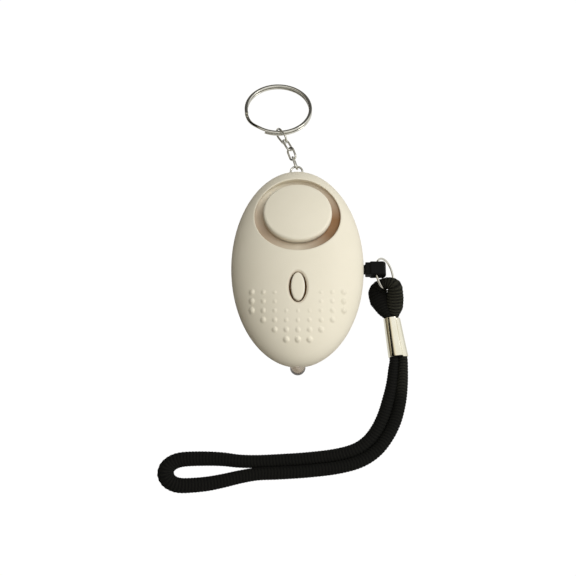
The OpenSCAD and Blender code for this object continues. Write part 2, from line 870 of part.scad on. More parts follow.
// Pull pin: blade in the case, collar, and a head with an eye for the ring
module pull_pin() {
    color("#161616")
        difference() {
            union() {
                translate([blade_tip, pin_y - blade_w / 2, parting_z - blade_t / 2])
                    cube([blade_l + 1, blade_w, blade_t]);
                translate([head_x, pin_y - neck_w / 2, parting_z - 1.5])
                    cube([head_l - 2, neck_w, 3]);
                intersection() {
                    translate([eye_x, pin_y, parting_z])
                        rotate([90, 0, 0])
                            cylinder(d = 2 * (head_x + head_l - eye_x), h = head_w, center = true);
                    translate([eye_x - 10, pin_y - head_w / 2, parting_z - head_t / 2])
                        cube([20, head_w, head_t]);
                }
            }
            translate([eye_x, pin_y, parting_z])
                rotate([90, 0, 0])
                    cylinder(r = eye_r, h = 20, center = true);
        }
}
module pin_ring() {
    color("#b9b7ad")
        translate(ring_at)
            rotate([0, pin_ring_slope, 0])
                rotate_extrude()
                    translate([ring_r, 0])
                        circle(d = pin_ring_wire);
}

// Wrist strap: head loop round the ring, crimped ferrule, wrist loop on the table
module strap_head_loop() {
    color("#141414")
        tube(head_route, head_ups, head_ws, head_ts, 10);
}
module stadium(w, h) {
    square([w - h, h], center = true);
    for (x = [h - w, w - h])
        translate([x / 2, 0])
            circle(d = h);
}
module strap_ferrule() {
    in_w = 2 * strand_w + strand_gap + 2 * seat_gap;
    in_h = strand_t + strand_room + 2 * seat_gap;
    color("#bdbcb4")
        multmatrix([
            [ferrule_side[0], ferrule_up[0], ferrule_dir[0], ferrule_top[0]],
            [ferrule_side[1], ferrule_up[1], ferrule_dir[1], ferrule_top[1]],
            [ferrule_side[2], ferrule_up[2], ferrule_dir[2], ferrule_top[2]]
        ])
            linear_extrude(ferrule_l)
                difference() {
                    stadium(in_w + 2 * ferrule_wall, in_h + 2 * ferrule_wall);
                    stadium(in_w, in_h);
                    translate([-1.4, in_h / 2])
                        square([0.25, 2], center = true);
                }
}
module strap_wrist_loop() {
    color("#141414")
        tube(wrist_route, wrist_ups, wrist_ws, wrist_ts, 10);
}

// Chain from the lug to the key ring
module lug_ring() {
    color("#b7b7b2")
        place(0)
            link(lug_ring_d, lug_ring_d, link_wire);
}
module chain_link_1() {
    color("#b7b7b2")
        place(1)
            link(link_l, link_w, link_wire);
}
module chain_link_2() {
    color("#b7b7b2")
        place(2)
            link(link_l, link_w, link_wire);
}
module chain_link_3() {
    color("#b7b7b2")
        place(3)
            link(link_l, link_w, link_wire);
}
module end_link() {
    color("#b7b7b2")
        place(4)
            link(end_link_l, end_link_w, link_wire);
}

// Key ring: flat wire in two turns, with a ramp from one turn to the other
module key_ring() {
    color("#a9a9a4")
        place(5)
            translate([key_ring_d / 2, 0, 0])
                tube(
                    key_line,
                    [for (p = key_line) [0, 0, 1]],
                    [for (p = key_line) key_wire_w],
                    [for (p = key_line) key_wire_t],
                    8
                );
}

front_shell();
back_shell();
siren_cap();
piezo_plate();
piezo_ceramic();
piezo_wire_red();
piezo_wire_black();
circuit_board();
driver_chip();
boost_coil();
transistor();
switch_base();
switch_stem();
led_button();
led_lamp();
led_leads();
button_cells();
positive_contact();
negative_contact();
alarm_contact_upper();
alarm_contact_lower();
case_screws();
pull_pin();
pin_ring();
strap_head_loop();
strap_ferrule();
strap_wrist_loop();
lug_ring();
chain_link_1();
chain_link_2();
chain_link_3();
end_link();
key_ring();
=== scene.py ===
# %% [markdown]
# # A personal safety alarm, dressed for its picture
# The real thing is an egg-shaped ABS case with a siren under a round cap, a lamp and its button, a pull
# pin on a black wrist strap, and a key ring on a short chain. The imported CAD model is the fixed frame,
# in metres. Every visible piece is worked out here again as a smooth numpy surface in the same place.

# %% Load the frame and keep its box
import math

import bmesh
import bpy
import numpy as np
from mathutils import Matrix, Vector


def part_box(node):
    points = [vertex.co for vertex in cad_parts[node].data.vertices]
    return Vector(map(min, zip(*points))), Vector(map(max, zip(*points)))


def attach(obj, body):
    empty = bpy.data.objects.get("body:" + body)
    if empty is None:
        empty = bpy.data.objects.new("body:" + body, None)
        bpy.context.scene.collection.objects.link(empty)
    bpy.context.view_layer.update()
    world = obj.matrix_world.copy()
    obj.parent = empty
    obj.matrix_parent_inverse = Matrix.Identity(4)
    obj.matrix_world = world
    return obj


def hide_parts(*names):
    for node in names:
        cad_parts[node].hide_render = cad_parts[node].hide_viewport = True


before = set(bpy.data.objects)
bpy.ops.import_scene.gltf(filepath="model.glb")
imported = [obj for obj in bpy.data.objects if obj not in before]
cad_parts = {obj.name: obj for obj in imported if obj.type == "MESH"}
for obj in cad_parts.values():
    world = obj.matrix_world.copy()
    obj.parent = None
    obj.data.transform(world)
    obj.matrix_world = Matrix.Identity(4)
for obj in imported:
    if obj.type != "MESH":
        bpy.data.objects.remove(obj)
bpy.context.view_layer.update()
MM = 0.001
TAU = 2 * math.pi

# %% [markdown]
# ## Camera
# The photograph looks down on the alarm from the lamp's end, at three quarters of a right angle above the
# table. A longish lens from 350 mm away gives its mild perspective. The numbers come from fitting the
# case's outline, the siren's rim and the key ring to one pinhole camera.

# %% Camera
LOOK_AT = np.array([-3.1, -7.6, 11.3])
ELEVATION = math.radians(67.5)
DISTANCE = 350
SENSOR = 36
VIEW_WIDTH = 576 * 0.326  # the photograph's pixels across, and the millimetres in one of them
camera = bpy.data.objects.new("camera", bpy.data.cameras.new("camera"))
bpy.context.scene.collection.objects.link(camera)
bpy.context.scene.camera = camera
camera.data.sensor_width = SENSOR
camera.data.lens = SENSOR * DISTANCE / VIEW_WIDTH
camera.data.clip_start = 0.01
camera.data.clip_end = 100
towards = np.array([0, -math.cos(ELEVATION), math.sin(ELEVATION)])
camera.location = (LOOK_AT + DISTANCE * towards) * MM
camera.rotation_euler = (math.pi / 2 - ELEVATION, 0, 0)
print("lens in mm:", round(camera.data.lens, 1))

# %% [markdown]
# ## From grids to meshes
# Each surface is a grid of points, n rows of m, worked out as one array. A piece may join several grids:
# corners that meet are merged, so a row that shrinks to one point closes a pole or an end. A sharp edge
# is marked wherever two faces meet at more than a set angle.

# %% Mesh helpers
WELD = 2e-6  # corners closer than this, in metres, become one
SPAN_STEPS = 40  # points worked out on each span of a smooth route
x_axis, y_axis, z_axis = np.eye(3)
pieces = []  # each object made, with its slot


def unit(v):
    """Each vector divided by its own length."""
    return v / np.linalg.norm(v, axis=-1, keepdims=True)


def around(a):
    """The point (cos a, sin a) for each angle a."""
    return np.stack([np.cos(a), np.sin(a)], -1)


def turns(n):
    """n angles, evenly round a full turn."""
    return np.linspace(0, TAU, n, endpoint=False)


def faces_of(n, m, wrap_rows, wrap_cols, first):
    """Corner numbers of the four-sided faces of an n by m grid, its ends joined where it wraps."""
    rows = np.arange(n if wrap_rows else n - 1)[:, None]
    cols = np.arange(m if wrap_cols else m - 1)[None, :]
    down = (rows + 1) % n
    right = (cols + 1) % m
    corners = [rows * m + cols, down * m + cols, down * m + right, rows * m + right]
    return np.stack([first + np.broadcast_to(c, (rows.size, cols.size)) for c in corners], -1).reshape(-1, 4)


def piece(name, grids, body, replaced, slot, sharp, marks=None):
    """One object, on a body of the frame, from grids in millimetres: (points, wrap rows, wrap columns)."""
    points = np.concatenate([g[0].reshape(-1, 3) for g in grids]) * MM
    first = np.cumsum([0] + [g[0].shape[0] * g[0].shape[1] for g in grids])
    quads = np.concatenate([faces_of(*g[0].shape[:2], g[1], g[2], f) for g, f in zip(grids, first)])
    mesh = bpy.data.meshes.new(name)
    mesh.from_pydata(points.tolist(), [], quads.tolist())
    for label, values in (marks or {}).items():
        layer = mesh.attributes.new(label, "FLOAT", "POINT")
        layer.data.foreach_set("value", np.asarray(values, np.float32).ravel())
    work = bmesh.new()
    work.from_mesh(mesh)
    bmesh.ops.remove_doubles(work, verts=work.verts, dist=WELD)
    bmesh.ops.recalc_face_normals(work, faces=work.faces)
    work.to_mesh(mesh)
    work.free()
    mesh.polygons.foreach_set("use_smooth", np.ones(len(mesh.polygons), bool))
    mesh.set_sharp_from_angle(angle=math.radians(sharp))
    made = bpy.data.objects.new(name, mesh)
    bpy.context.scene.collection.objects.link(made)
    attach(made, body)
    if replaced:
        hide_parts(*replaced)
    pieces.append((made, slot))
    print(f"{name}: {len(mesh.polygons)} faces")
    return made


def carry(line, up, section, closed=False):
    """A profile carried along a path: with tangent t, side is t x up and top is side x t, and a profile
    point (a, b) lands on line + a side + b top. The profile may differ from row to row."""
    ahead = np.roll(line, -1, 0) - np.roll(line, 1, 0) if closed else np.gradient(line, axis=0)
    along = unit(ahead)
    side = unit(np.cross(along, up))
    top = np.cross(side, along)
    section = np.broadcast_to(section, (len(line), *np.shape(section)[-2:]))
    return line[:, None] + section[..., :1] * side[:, None] + section[..., 1:] * top[:, None]


def closed_ends(grid):
    """The grid with one more row at each end, shrunk to the middle of the end row."""
    ends = [np.broadcast_to(grid[k].mean(0), grid[k].shape)[None] for k in (0, -1)]
    return np.concatenate([ends[0], grid, ends[1]])


def turned(profile, n, origin, axis):
    """A profile of (radius, height) turned about an axis square to X: at angle a,
    origin + height axis + radius (cos a X + sin a (axis x X))."""
    a = turns(n)[:, None]
    spoke = np.cos(a) * x_axis + np.sin(a) * np.cross(axis, x_axis)
    profile = np.asarray(profile, float)
    return np.asarray(origin) + profile[None, :, 1:] * axis + profile[None, :, :1] * spoke[:, None]


def bent(p0, p1, p2, n):
    """A rounded corner: the curve (1-u)^2 p0 + 2u(1-u) p1 + u^2 p2, as n rows of points."""
    u = np.linspace(0, 1, n)[:, None, None]
    return (1 - u) ** 2 * p0 + 2 * u * (1 - u) * p1 + u**2 * p2


def smooth_route(points, step):
    """A smooth line through the points (each span is the cubic that leaves and arrives along its
    neighbours' direction), with points about step apart."""
    p = np.concatenate([2 * points[:1] - points[1:2], points, 2 * points[-1:] - points[-2:-1]])
    u = np.linspace(0, 1, SPAN_STEPS, endpoint=False)[None, :, None]
    a, b, c, d = (p[k : len(p) - 3 + k, None] for k in range(4))
    fine = 0.5 * (2 * b + (c - a) * u + (2 * a - 5 * b + 4 * c - d) * u**2 + (3 * b - a - 3 * c + d) * u**3)
    fine = np.concatenate([fine.reshape(-1, 3), p[-2:-1]])
    run = np.concatenate([[0], np.cumsum(np.linalg.norm(np.diff(fine, axis=0), axis=1))])
    at = np.linspace(0, run[-1], int(run[-1] / step) + 1)
    return np.stack([np.interp(at, run, fine[:, k]) for k in range(3)], 1), at


# %% [markdown]
# ## Wrist strap, first because it is the long soft piece
# The strap is a knitted tube of black polyester, about 3.8 mm wide and wider where it lies pressed flat.
# It goes round the pin's ring as a small loop, both ends meet in a crimped sleeve, and from there two
# strands lie side by side on the table and end in one long narrow eye. The route keeps close to the CAD's
# points. The knit's ribs are real relief: the radius swells and shrinks along the cord, once for each
# course of stitches.

# %% Strap routes, in millimetres
EYE_AT = np.array([25.9, -1.1, 11.3])
PIN_HEAD_HALF = 2.3  # half the thickness of the pin's head, along its eye
RING_R, RING_WIRE, RING_SLOPE = 5.5, 0.75, math.radians(54)
ring_dir = np.array([math.cos(RING_SLOPE), 0, -math.sin(RING_SLOPE)])
ring_sag = (RING_R - math.sqrt(RING_R**2 - PIN_HEAD_HALF**2)) / 2
ring_at = EYE_AT + (RING_R - ring_sag) * ring_dir
CORD_W, CORD_T = 3.8, 3.4
STRAND_W, STRAND_T = 2.85, 3.1
FERRULE_L, FERRULE_Z, FERRULE_FROM_RING = 13, 4.6, (2.01, -14.6)
ferrule_top = np.array([*(ring_at[:2] + FERRULE_FROM_RING), FERRULE_Z])
ferrule_dir = unit(np.array([1.9, -12.6, -2.1]))
ferrule_side = unit(np.cross(z_axis, ferrule_dir))
ferrule_up = np.cross(ferrule_dir, ferrule_side)
ferrule_mid = ferrule_top + ferrule_dir * FERRULE_L / 2
ferrule_end = ferrule_top + ferrule_dir * FERRULE_L
STRAND_OFF = (1.15, 1.3, (STRAND_W + 0.06) / 2)  # from the sleeve's axis, at its top, middle and end
strand_top, strand_mid, strand_end = (off * ferrule_side for off in STRAND_OFF)
LOOP_TURN = math.radians(10)
LOOP_W, LOOP_PLAY, ARC_SHIFT, ARC_HALF = 3.8, 0.25, 0.2, 3.4
loop_out = math.sin(LOOP_TURN) * ring_dir - np.array([0, math.cos(LOOP_TURN), 0])
loop_at = ring_at + RING_R * loop_out
loop_side = np.array([math.sin(RING_SLOPE), 0, math.cos(RING_SLOPE)])
loop_up = -math.cos(LOOP_TURN) * ring_dir - np.array([0, math.sin(LOOP_TURN), 0])
loop_r = LOOP_W / 2 + RING_WIRE / 2 + LOOP_PLAY
half_turn = np.radians(np.arange(0, 181, 30))[:, None]
across_loop = (ARC_SHIFT + ARC_HALF * np.cos(half_turn)) * loop_side
arc = loop_at - across_loop - loop_r * np.sin(half_turn) * loop_out


def leg(foot, top, bulge):
    """Two points of a leg, at 0.35 and 0.7 of the way from the sleeve up to the loop, pushed out sideways."""
    share = np.array([[0.35], [0.7]])
    return foot * (1 - share) + top * share + np.array([[bulge * 0.5, 0, 0], [bulge * 0.6, 0, 0]])


LEG_BULGE = 0.1
left_foot, right_foot = ferrule_top - strand_top, ferrule_top + strand_top
head_route = np.concatenate([
    [ferrule_mid - strand_mid, left_foot],
    leg(left_foot, arc[0], -LEG_BULGE),
    arc,
    leg(right_foot, arc[-1], LEG_BULGE)[::-1],
    [right_foot, ferrule_mid + strand_mid],
])
# At each point of the head loop: how far it has turned from the sleeve's direction to the ring's, how wide
# and how thick it is, and how strong a highlight is painted on its ribs. The soft tube spreads where it
# leaves the sleeve and is narrow where it is squeezed, in it and round the ring.
HEAD_TURN = [0, 0, 0.15, 0.3, 0.5, 0.8, 1, 1, 1, 1, 1, 0.8, 0.3, 0, 0]
HEAD_WIDE = [2.5, 2.3, 5.2, 7.2, 6.4, 5.7, 4.5, 4.0, 4.2, 4.8, 5.4, 5.9, 5.2, 2.3, 2.5]
HEAD_THICK = [3.0, 2.9, 3.4, 3.2, 3.3, 3.6, 3.6, 3.6, 3.6, 3.6, 3.6, 3.4, 3.4, 2.9, 3.0]
HEAD_CATCH = [0.2, 0.2, 0.2, 0.15, 0.15, 0.2, 0.3, 0.5, 0.8, 1, 1, 1, 1, 0.8, 0.8]
# Middle line of the two strands on the table (x, y), and half the distance between them
WRIST_LINE = np.array([
    [32.7, -32.5, 1.55], [32.1, -37.7, 1.7], [31, -43, 1.9], [29.2, -48.8, 2], [26.6, -53.8, 2],
    [23.2, -57.9, 2], [18.6, -60.8, 2], [12, -62.6, 2], [3, -63.7, 2], [-6, -64.3, 2],
    [-12.8, -64.6, 2], [-18.2, -65, 2.5], [-23.4, -65.3, 3.4], [-28.6, -65.7, 4], [-34, -66, 4.2],
    [-37.2, -66.2, 4], [-39.4, -66.4, 3.2], [-40.9, -66.6, 1.8],
])
WRIST_TIP = (-41.4, -66.7)
LINE_START = (32.9, -28.3)  # where the sleeve's end was when the line was drawn
strap_shift = np.append(ferrule_end[:2] - LINE_START, 0)
wrist_mid = np.column_stack([WRIST_LINE[:, :2], np.full(len(WRIST_LINE), CORD_T / 2)]) + strap_shift
wrist_tip = np.array([*WRIST_TIP, CORD_T / 2]) + strap_shift
wrist_way = np.concatenate([[ferrule_end], wrist_mid, [wrist_tip]])
wrist_side = unit(np.cross(z_axis, unit(wrist_way[2:] - wrist_way[:-2])))
spread = WRIST_LINE[:, 2:] * wrist_side
wrist_route = np.concatenate([
    [ferrule_mid - strand_mid, ferrule_end - strand_end],
    wrist_mid - spread,
    [wrist_tip],
    (wrist_mid + spread)[::-1],
    [ferrule_end + strand_end, ferrule_mid + strand_mid],
])
wrist_count = np.arange(len(wrist_route))
wrist_open = np.clip(np.minimum(wrist_count, wrist_count[::-1]) - 1, 0, 1)
# Pressed flat on the table, the tube is wider than the CAD's oval, most of all round the far end of the eye
STRAND_WIDE = [2.5, 3.05, 3.5, 3.8, 4.1, *[4.2] * 8, 4.3, 4.5, 4.7, 4.8, 4.9, 5, 5.2]
WRIST_WIDE = [*STRAND_WIDE, 5.4, *STRAND_WIDE[::-1]]
# Painted highlight on the ribs: faint, and stronger on the last stretch of the second strand, by the sleeve
WRIST_CATCH = [0.18] * (len(wrist_route) - 4) + [0.6] * 4
WRIST_THICK = STRAND_T + (CORD_T - STRAND_T) * wrist_open

# %% Knitted cord
COURSE = 1.0  # length of one course of stitches along the cord, in millimetres
WALES = 9  # columns of stitches round the cord
RIB = 0.13  # height of a rib
SLANT = 0.22  # how far a course leans round the cord, in courses
SIDES = 40


def knitted_cord(name, route, share, wide, thick, catch, up_full):
    """A tube with ribs: at s along and angle f round, the oval's radius changes by RIB (r - 1) / 2, where
    r = cos(2 pi (s / COURSE + SLANT cos 2f)) (0.7 + 0.3 cos WALES f). At each point of the route, share is
    how far its flat side has turned from the sleeve's, and catch is how strong a highlight is painted on its
    ribs."""
    line, s = smooth_route(route, COURSE / 8)
    knots = np.concatenate([[0], np.cumsum(np.linalg.norm(np.diff(route, axis=0), axis=1))])
    place, mark = s / s[-1], knots / knots[-1]
    mix, wide, thick, catch = (np.interp(place, mark, v)[:, None] for v in (share, wide, thick, catch))
    f = turns(SIDES)[None]
    rib = np.cos(TAU * (s[:, None] / COURSE + SLANT * np.cos(2 * f))) * (0.7 + 0.3 * np.cos(WALES * f))
    swell = RIB * (rib - 1) / 2
    section = np.stack([(wide / 2 + swell) * np.cos(f), (thick / 2 + swell) * np.sin(f)], -1)
    up = unit((1 - mix) * ferrule_up + mix * up_full)
    grid = closed_ends(carry(line, up, section))
    # Painted highlight: the ribs' crests are marked lighter, as strongly as catch says
    painted_crest_highlight = np.pad((rib + 1) / 2 * catch, ((1, 1), (0, 0)), mode="edge")
    node = name.replace("knit_", "strap_")
    made = piece(name, [(grid, False, True)], "strap", [node], "cord", 180, {"painted_crest_highlight": painted_crest_highlight})
    return made, line * MM, float(s[-1]) * MM


head_cord, head_path, head_length = knitted_cord(
    "knit_head_loop", head_route, HEAD_TURN, HEAD_WIDE, HEAD_THICK, HEAD_CATCH, loop_up
)
wrist_cord, wrist_path, wrist_length = knitted_cord(
    "knit_wrist_loop", wrist_route, wrist_open, WRIST_WIDE, WRIST_THICK, WRIST_CATCH, z_axis
)
print("cord lengths in mm:", round(head_length * 1000, 1), round(wrist_length * 1000, 1))

# %% [markdown]
# ## Crimped sleeve
# A strip of plated metal is rolled round the four strands and squeezed to a flat oval. Its two edges meet
# in a seam, and they met a little out of line, so the sleeve's ends step at the seam. A thin rounded
# wall goes once round the oval: at each place on the oval, a closed loop runs down the outside and back
# up the inside.

# %% Sleeve
SLEEVE_W, SLEEVE_H, SLEEVE_WALL = 6.56, 4.8, 0.35
SEAM_X, SEAM_STEP, SEAM_DEEP, SEAM_WIDE, SEAM_EDGE = 1.25, 0.5, 0.1, 0.1, 0.04
SLEEVE_TAPER = 0.84  # width at the head end, as a share of the width at the strap's end
LIP, WAIST, WALL_ROWS = 0.2, 0.1, 24
# Points round the oval, (w/2 cos a, h/2 sin a), and the way out at each, along (cos a / w, sin a / h)
ring = around(turns(240))
oval, outward = ring * [SLEEVE_W / 2, SLEEVE_H / 2], unit(ring / [SLEEVE_W, SLEEVE_H])
on_top = oval[:, 1] > 0
groove = SEAM_DEEP * np.exp(-(((oval[:, 0] - SEAM_X) / SEAM_WIDE) ** 2)) * on_top
past_seam = 1 / (1 + np.exp(-(oval[:, 0] - SEAM_X) / SEAM_EDGE))
slide = SEAM_STEP * np.where(on_top, past_seam, (oval[:, 0] + SLEEVE_W / 2) / SLEEVE_W)
lip = np.linspace(0, np.pi, 7)
up_wall = np.linspace(LIP, FERRULE_L - LIP, WALL_ROWS)
wall_loop = np.concatenate([
    np.column_stack([np.zeros(WALL_ROWS), up_wall]),
    np.column_stack([-SLEEVE_WALL / 2 * (1 - np.cos(lip)), FERRULE_L - LIP + LIP * np.sin(lip)]),
    np.column_stack([np.full(WALL_ROWS, -SLEEVE_WALL), up_wall[::-1]]),
    np.column_stack([-SLEEVE_WALL / 2 * (1 + np.cos(lip)), LIP - LIP * np.sin(lip)]),
])
waist = WAIST * np.sin(np.pi * np.clip(wall_loop[:, 1] / FERRULE_L, 0, 1)) ** 2
depth = wall_loop[None, :, 0] - groove[:, None] - waist[None] * np.abs(outward[:, 1:])
flat = oval[:, None] + depth[..., None] * outward[:, None]
height = wall_loop[None, :, 1] + slide[:, None] - SEAM_STEP / 2
flat[..., 0] *= SLEEVE_TAPER + (1 - SLEEVE_TAPER) * np.clip(height / FERRULE_L, 0, 1)
sleeve_grid = ferrule_top + flat[..., :1] * ferrule_side + flat[..., 1:] * ferrule_up
sleeve_grid = sleeve_grid + height[..., None] * ferrule_dir
sleeve = piece("crimped_sleeve", [(sleeve_grid, True, True)], "strap", ["strap_ferrule"], "ferrule", 50)

# %% [markdown]
# ## The case's two shells
# Both halves are parts of ellipsoids, moulded with a wall of 1.6 mm. The front has a round siren recess
# and an oval hole for the button; the back has four screw wells. A surface with holes is cut into patches
# with one hole each. On a patch, straight spokes run from the hole's rim to the patch's outline, and the
# height over each point is the ellipsoid's. The grip dots are part of that height. The outline steps back
# over the lamp and over the pin's slot, so both pass through real openings.

# %% Sizes of the case
HALF_W, HALF_L = 21.75, 34.8
FRONT_RISE, BACK_RISE = 11.4, 12.2
PARTING = 11.3
WALL = 1.6
SEAM_INSET = 0.15
SIREN_Y, RECESS_R, FLOOR_Z = 15.1, 14.1, 14.8
BUTTON_Y, BUTTON_W, BUTTON_L, BUTTON_GAP, BUTTON_END_GAP = -11.4, 4.4, 9.1, 0.6, 0.4
PIN_Y, SLOT_HALF_W, SLOT_HALF_T = -1.1, 1.6, 0.9
LAMP_R, LAMP_DROP = 2.5, 2.0
LAMP_HOLE_R = LAMP_R + 0.08
DOT_X, DOT_Y, DOT_TOP, DOT_D, DOT_GROW, DOT_R, DOT_BOW = 3.65, 2.87, -13.5, 1.0, 0.95, 1.35, 0.0065
DOT_ROWS = [(2, 4), (2, 4), (0, 4), (0, 3), (0, 2), (0, 1)]  # nearest and farthest column in each row


def dome(x, y, inset, rise):
    """Height of the ellipsoid over the parting plane: rise sqrt(1 - (x/w)^2 - (y/l)^2)."""
    left_over = 1 - (x / (HALF_W - inset)) ** 2 - (y / (HALF_L - inset)) ** 2
    return (rise - inset) * np.sqrt(np.maximum(0, left_over))


dot_cells = np.array([[c, k] for k, (a, b) in enumerate(DOT_ROWS) for c in range(-4, 5) if a <= abs(c) <= b])
dot_x = dot_cells[:, 0] * DOT_X
# The rows bow, so that they look straight from the lamp's end
dot_y = DOT_TOP - dot_cells[:, 1] * DOT_Y + DOT_BOW * dot_x**2
dot_z = dome(dot_x, dot_y, 0, FRONT_RISE)
dot_d = DOT_D + DOT_GROW * ((dot_cells[:, 0] / 4) ** 2 + (dot_cells[:, 1] / 5) ** 2)
dot_out = unit(np.column_stack([dot_x / HALF_W**2, dot_y / HALF_L**2, dot_z / FRONT_RISE**2]))
dot_c = np.column_stack([dot_x, dot_y, dot_z]) - np.sqrt(DOT_R**2 - dot_d**2 / 4)[:, None] * dot_out


def dots(x, y):
    """Height of the grip dots over the front. Each is the cap of a ball of radius R sunk along the front's
    own direction: the ball's top, c + sqrt(R^2 - r^2), less the front's height, where that is above 0."""
    r2 = (x[..., None] - dot_c[:, 0]) ** 2 + (y[..., None] - dot_c[:, 1]) ** 2
    ball = np.where(r2 < DOT_R**2, dot_c[:, 2] + np.sqrt(np.maximum(DOT_R**2 - r2, 0)), -99)
    return np.maximum(0, ball.max(-1) - dome(x, y, 0, FRONT_RISE))


SLOT_STEP = 0.03  # the slot's ends get a point this far to each side
LAMP_STEPS, LAMP_PAST = 41, 1.012


def edge_angles(n, extra):
    """Angles round the case's edge, evenly spread, with close ones at the pin's slot and at the lamp."""
    slot_y = np.array([PIN_Y + s * (SLOT_HALF_W + e) for s in (-1, 1) for e in (-SLOT_STEP, SLOT_STEP)])
    beside = np.linspace(-1, 1, LAMP_STEPS) * LAMP_HOLE_R
    beside = np.append(beside, beside[[0, -1]] * LAMP_PAST)
    near = 1.5 * math.pi + np.arcsin(beside / HALF_W)
    every = np.concatenate([turns(n), near, np.arcsin(slot_y / HALF_L), extra])
    return np.unique(np.round(every % TAU, 9))


def edge_curve(t, inset, rise, front):
    """The case's edge in plan: k (w cos t, l sin t), where k < 1 moves it off the parting plane, up over the
    lamp's hole on the front, down round it on the back, and over or under the pin's slot."""
    w, l, h = HALF_W - inset, HALF_L - inset, rise - inset
    x, y = w * np.cos(t), l * np.sin(t)
    half = np.sqrt(np.maximum(0, LAMP_HOLE_R**2 - x**2))
    below = np.where(np.abs(x) < LAMP_HOLE_R, half + LAMP_DROP, 0)
    step = np.where(y < 0, np.maximum(0, half - LAMP_DROP) if front else below, 0)
    in_slot = (x > 0) & (np.abs(HALF_L * np.sin(t) - PIN_Y) < SLOT_HALF_W)
    step = np.where(in_slot, SLOT_HALF_T, step)
    return np.sqrt(1 - (step / h) ** 2)[:, None] * np.stack([x, y], -1)


def spokes(outline, centre, radius, rows):
    """Rows of points from a hole's rim to an outline, closer together at the outline, where the case is
    steep: rim + (outline - rim) sin(u pi / 2). The rim's radius is a function of the angle."""
    away = outline - centre
    angle = np.arctan2(away[:, 1], away[:, 0])
    rim = centre + radius(angle)[:, None] * around(angle)
    u = np.sin(np.linspace(0, math.pi / 2, rows))[:, None, None]
    return rim + (outline - rim) * u, angle


def at_height(plan, z):
    """Plan points (x, y) with heights z."""
    return np.concatenate([plan, np.broadcast_to(z, plan.shape[:-1])[..., None]], -1)


def ring_rows(centre, angle, radii, heights):
    """Rings round a hole, one row for each radius, at the given heights. A radius may differ by angle."""
    spoke = around(angle)
    return np.stack([at_height(centre + np.reshape(r, (-1, 1)) * spoke, z) for r, z in zip(radii, heights)])


# %% Front shell
SPLIT_Y = -3.7  # the siren's half and the button's half meet here
SPLIT_T = math.asin(SPLIT_Y / HALF_L)
front_t = edge_angles(560, [SPLIT_T, math.pi - SPLIT_T, 1.5 * math.pi, 0.5 * math.pi])
split_right, split_left = SPLIT_T % TAU, math.pi - SPLIT_T
HOLE_W, HOLE_L = BUTTON_W + 2 * BUTTON_GAP, BUTTON_L + 2 * BUTTON_END_GAP


def oval_radius(angle, grow, w=HOLE_W, l=HOLE_L):
    """Radius of an oval, such as the button's hole, grown by some distance:
    1 / sqrt((cos / half width)^2 + (sin / half length)^2)."""
    return 1 / np.sqrt((np.cos(angle) / (w / 2 + grow)) ** 2 + (np.sin(angle) / (l / 2 + grow)) ** 2)


def halves(inset, rise, across):
    """Outlines of the siren's half and of the button's half of the front, with the line between them."""
    edge = edge_curve(front_t, inset, rise, True)
    upper = (front_t <= split_left) | (front_t >= split_right)
    order = np.argsort((front_t[upper] - split_right) % TAU)
    top_edge, low_edge = edge[upper][order], edge[(front_t >= split_left) & (front_t <= split_right)]
    x = np.linspace(-1, 1, across)[1:-1, None]
    line = np.concatenate([x, np.ones_like(x)], 1) * top_edge[0]
    return np.concatenate([top_edge, line]), np.concatenate([low_edge, line[::-1]]), edge


def front_z(plan, inset=0.0):
    """Height of the front's skin, or of one inset from it, over plan points."""
    return PARTING + dome(plan[..., 0], plan[..., 1], inset, FRONT_RISE)


def on_front(plan, inset=0.0, lift=0.0):
    """Plan points put on the front's skin, or on one inset from it, and lifted."""
    return at_height(plan, front_z(plan, inset) + lift)


CAP_R, CAP_LEAN, CAP_TILT, MOAT_D = 11.3, 1.0, math.radians(9.5), 4.2
DRUM_R, DRUM_GAP, DRUM_PLAY = CAP_R - 0.25, 0.5, 0.08
cap_axis = np.array([0, math.sin(CAP_TILT), math.cos(CAP_TILT)])
cap_y = SIREN_Y + CAP_LEAN
cap_top = np.array([0, cap_y, float(front_z(np.array([0, cap_y])))])
moat_at = cap_top - MOAT_D * cap_axis


def on_moat(plan, lift=0.0):
    """Plan points put on the moat's floor, a plane square to the cap's axis, and lifted."""
    return at_height(plan, moat_at[2] - (plan[..., 1] - moat_at[1]) * math.tan(CAP_TILT) + lift)


RIM, FOOT, FILLET = 0.55, 0.6, 1.0  # roundings of the recess: its rim, its foot, and the edge of the bore
DISH, DISH_DEEP, DISH_CURVE, DISH_ROWS = 0.8, 0.42, 1.6, 12
SEAT_R, SEAT_Z, UNDER_Z = 12.3, 12.4, 13.6  # the sounder's seat, and the underside of the recess floor
siren_c, button_c = np.array([0, SIREN_Y]), np.array([0, BUTTON_Y])
top_out, low_out, outer_edge = halves(0, FRONT_RISE, 181)
top_in, low_in, inner_edge = halves(WALL, FRONT_RISE, 181)

# Siren's half: skin, rounded rim, wall, rounded foot, floor
plan, recess_angle = spokes(top_out, siren_c, lambda a: np.full(a.shape, RECESS_R + RIM), 34)
skin_top = on_front(plan)
ray_out = around(recess_angle)
corner = siren_c + RECESS_R * ray_out
rim = bent(skin_top[0], on_front(corner), on_front(corner, lift=-RIM), 8)
foot = bent(on_moat(corner, FOOT), on_moat(corner), on_moat(siren_c + (RECESS_R - FOOT) * ray_out), 6)
well = rim[-1] + (foot[0] - rim[-1]) * np.linspace(0, 1, 10)[1:-1, None, None]
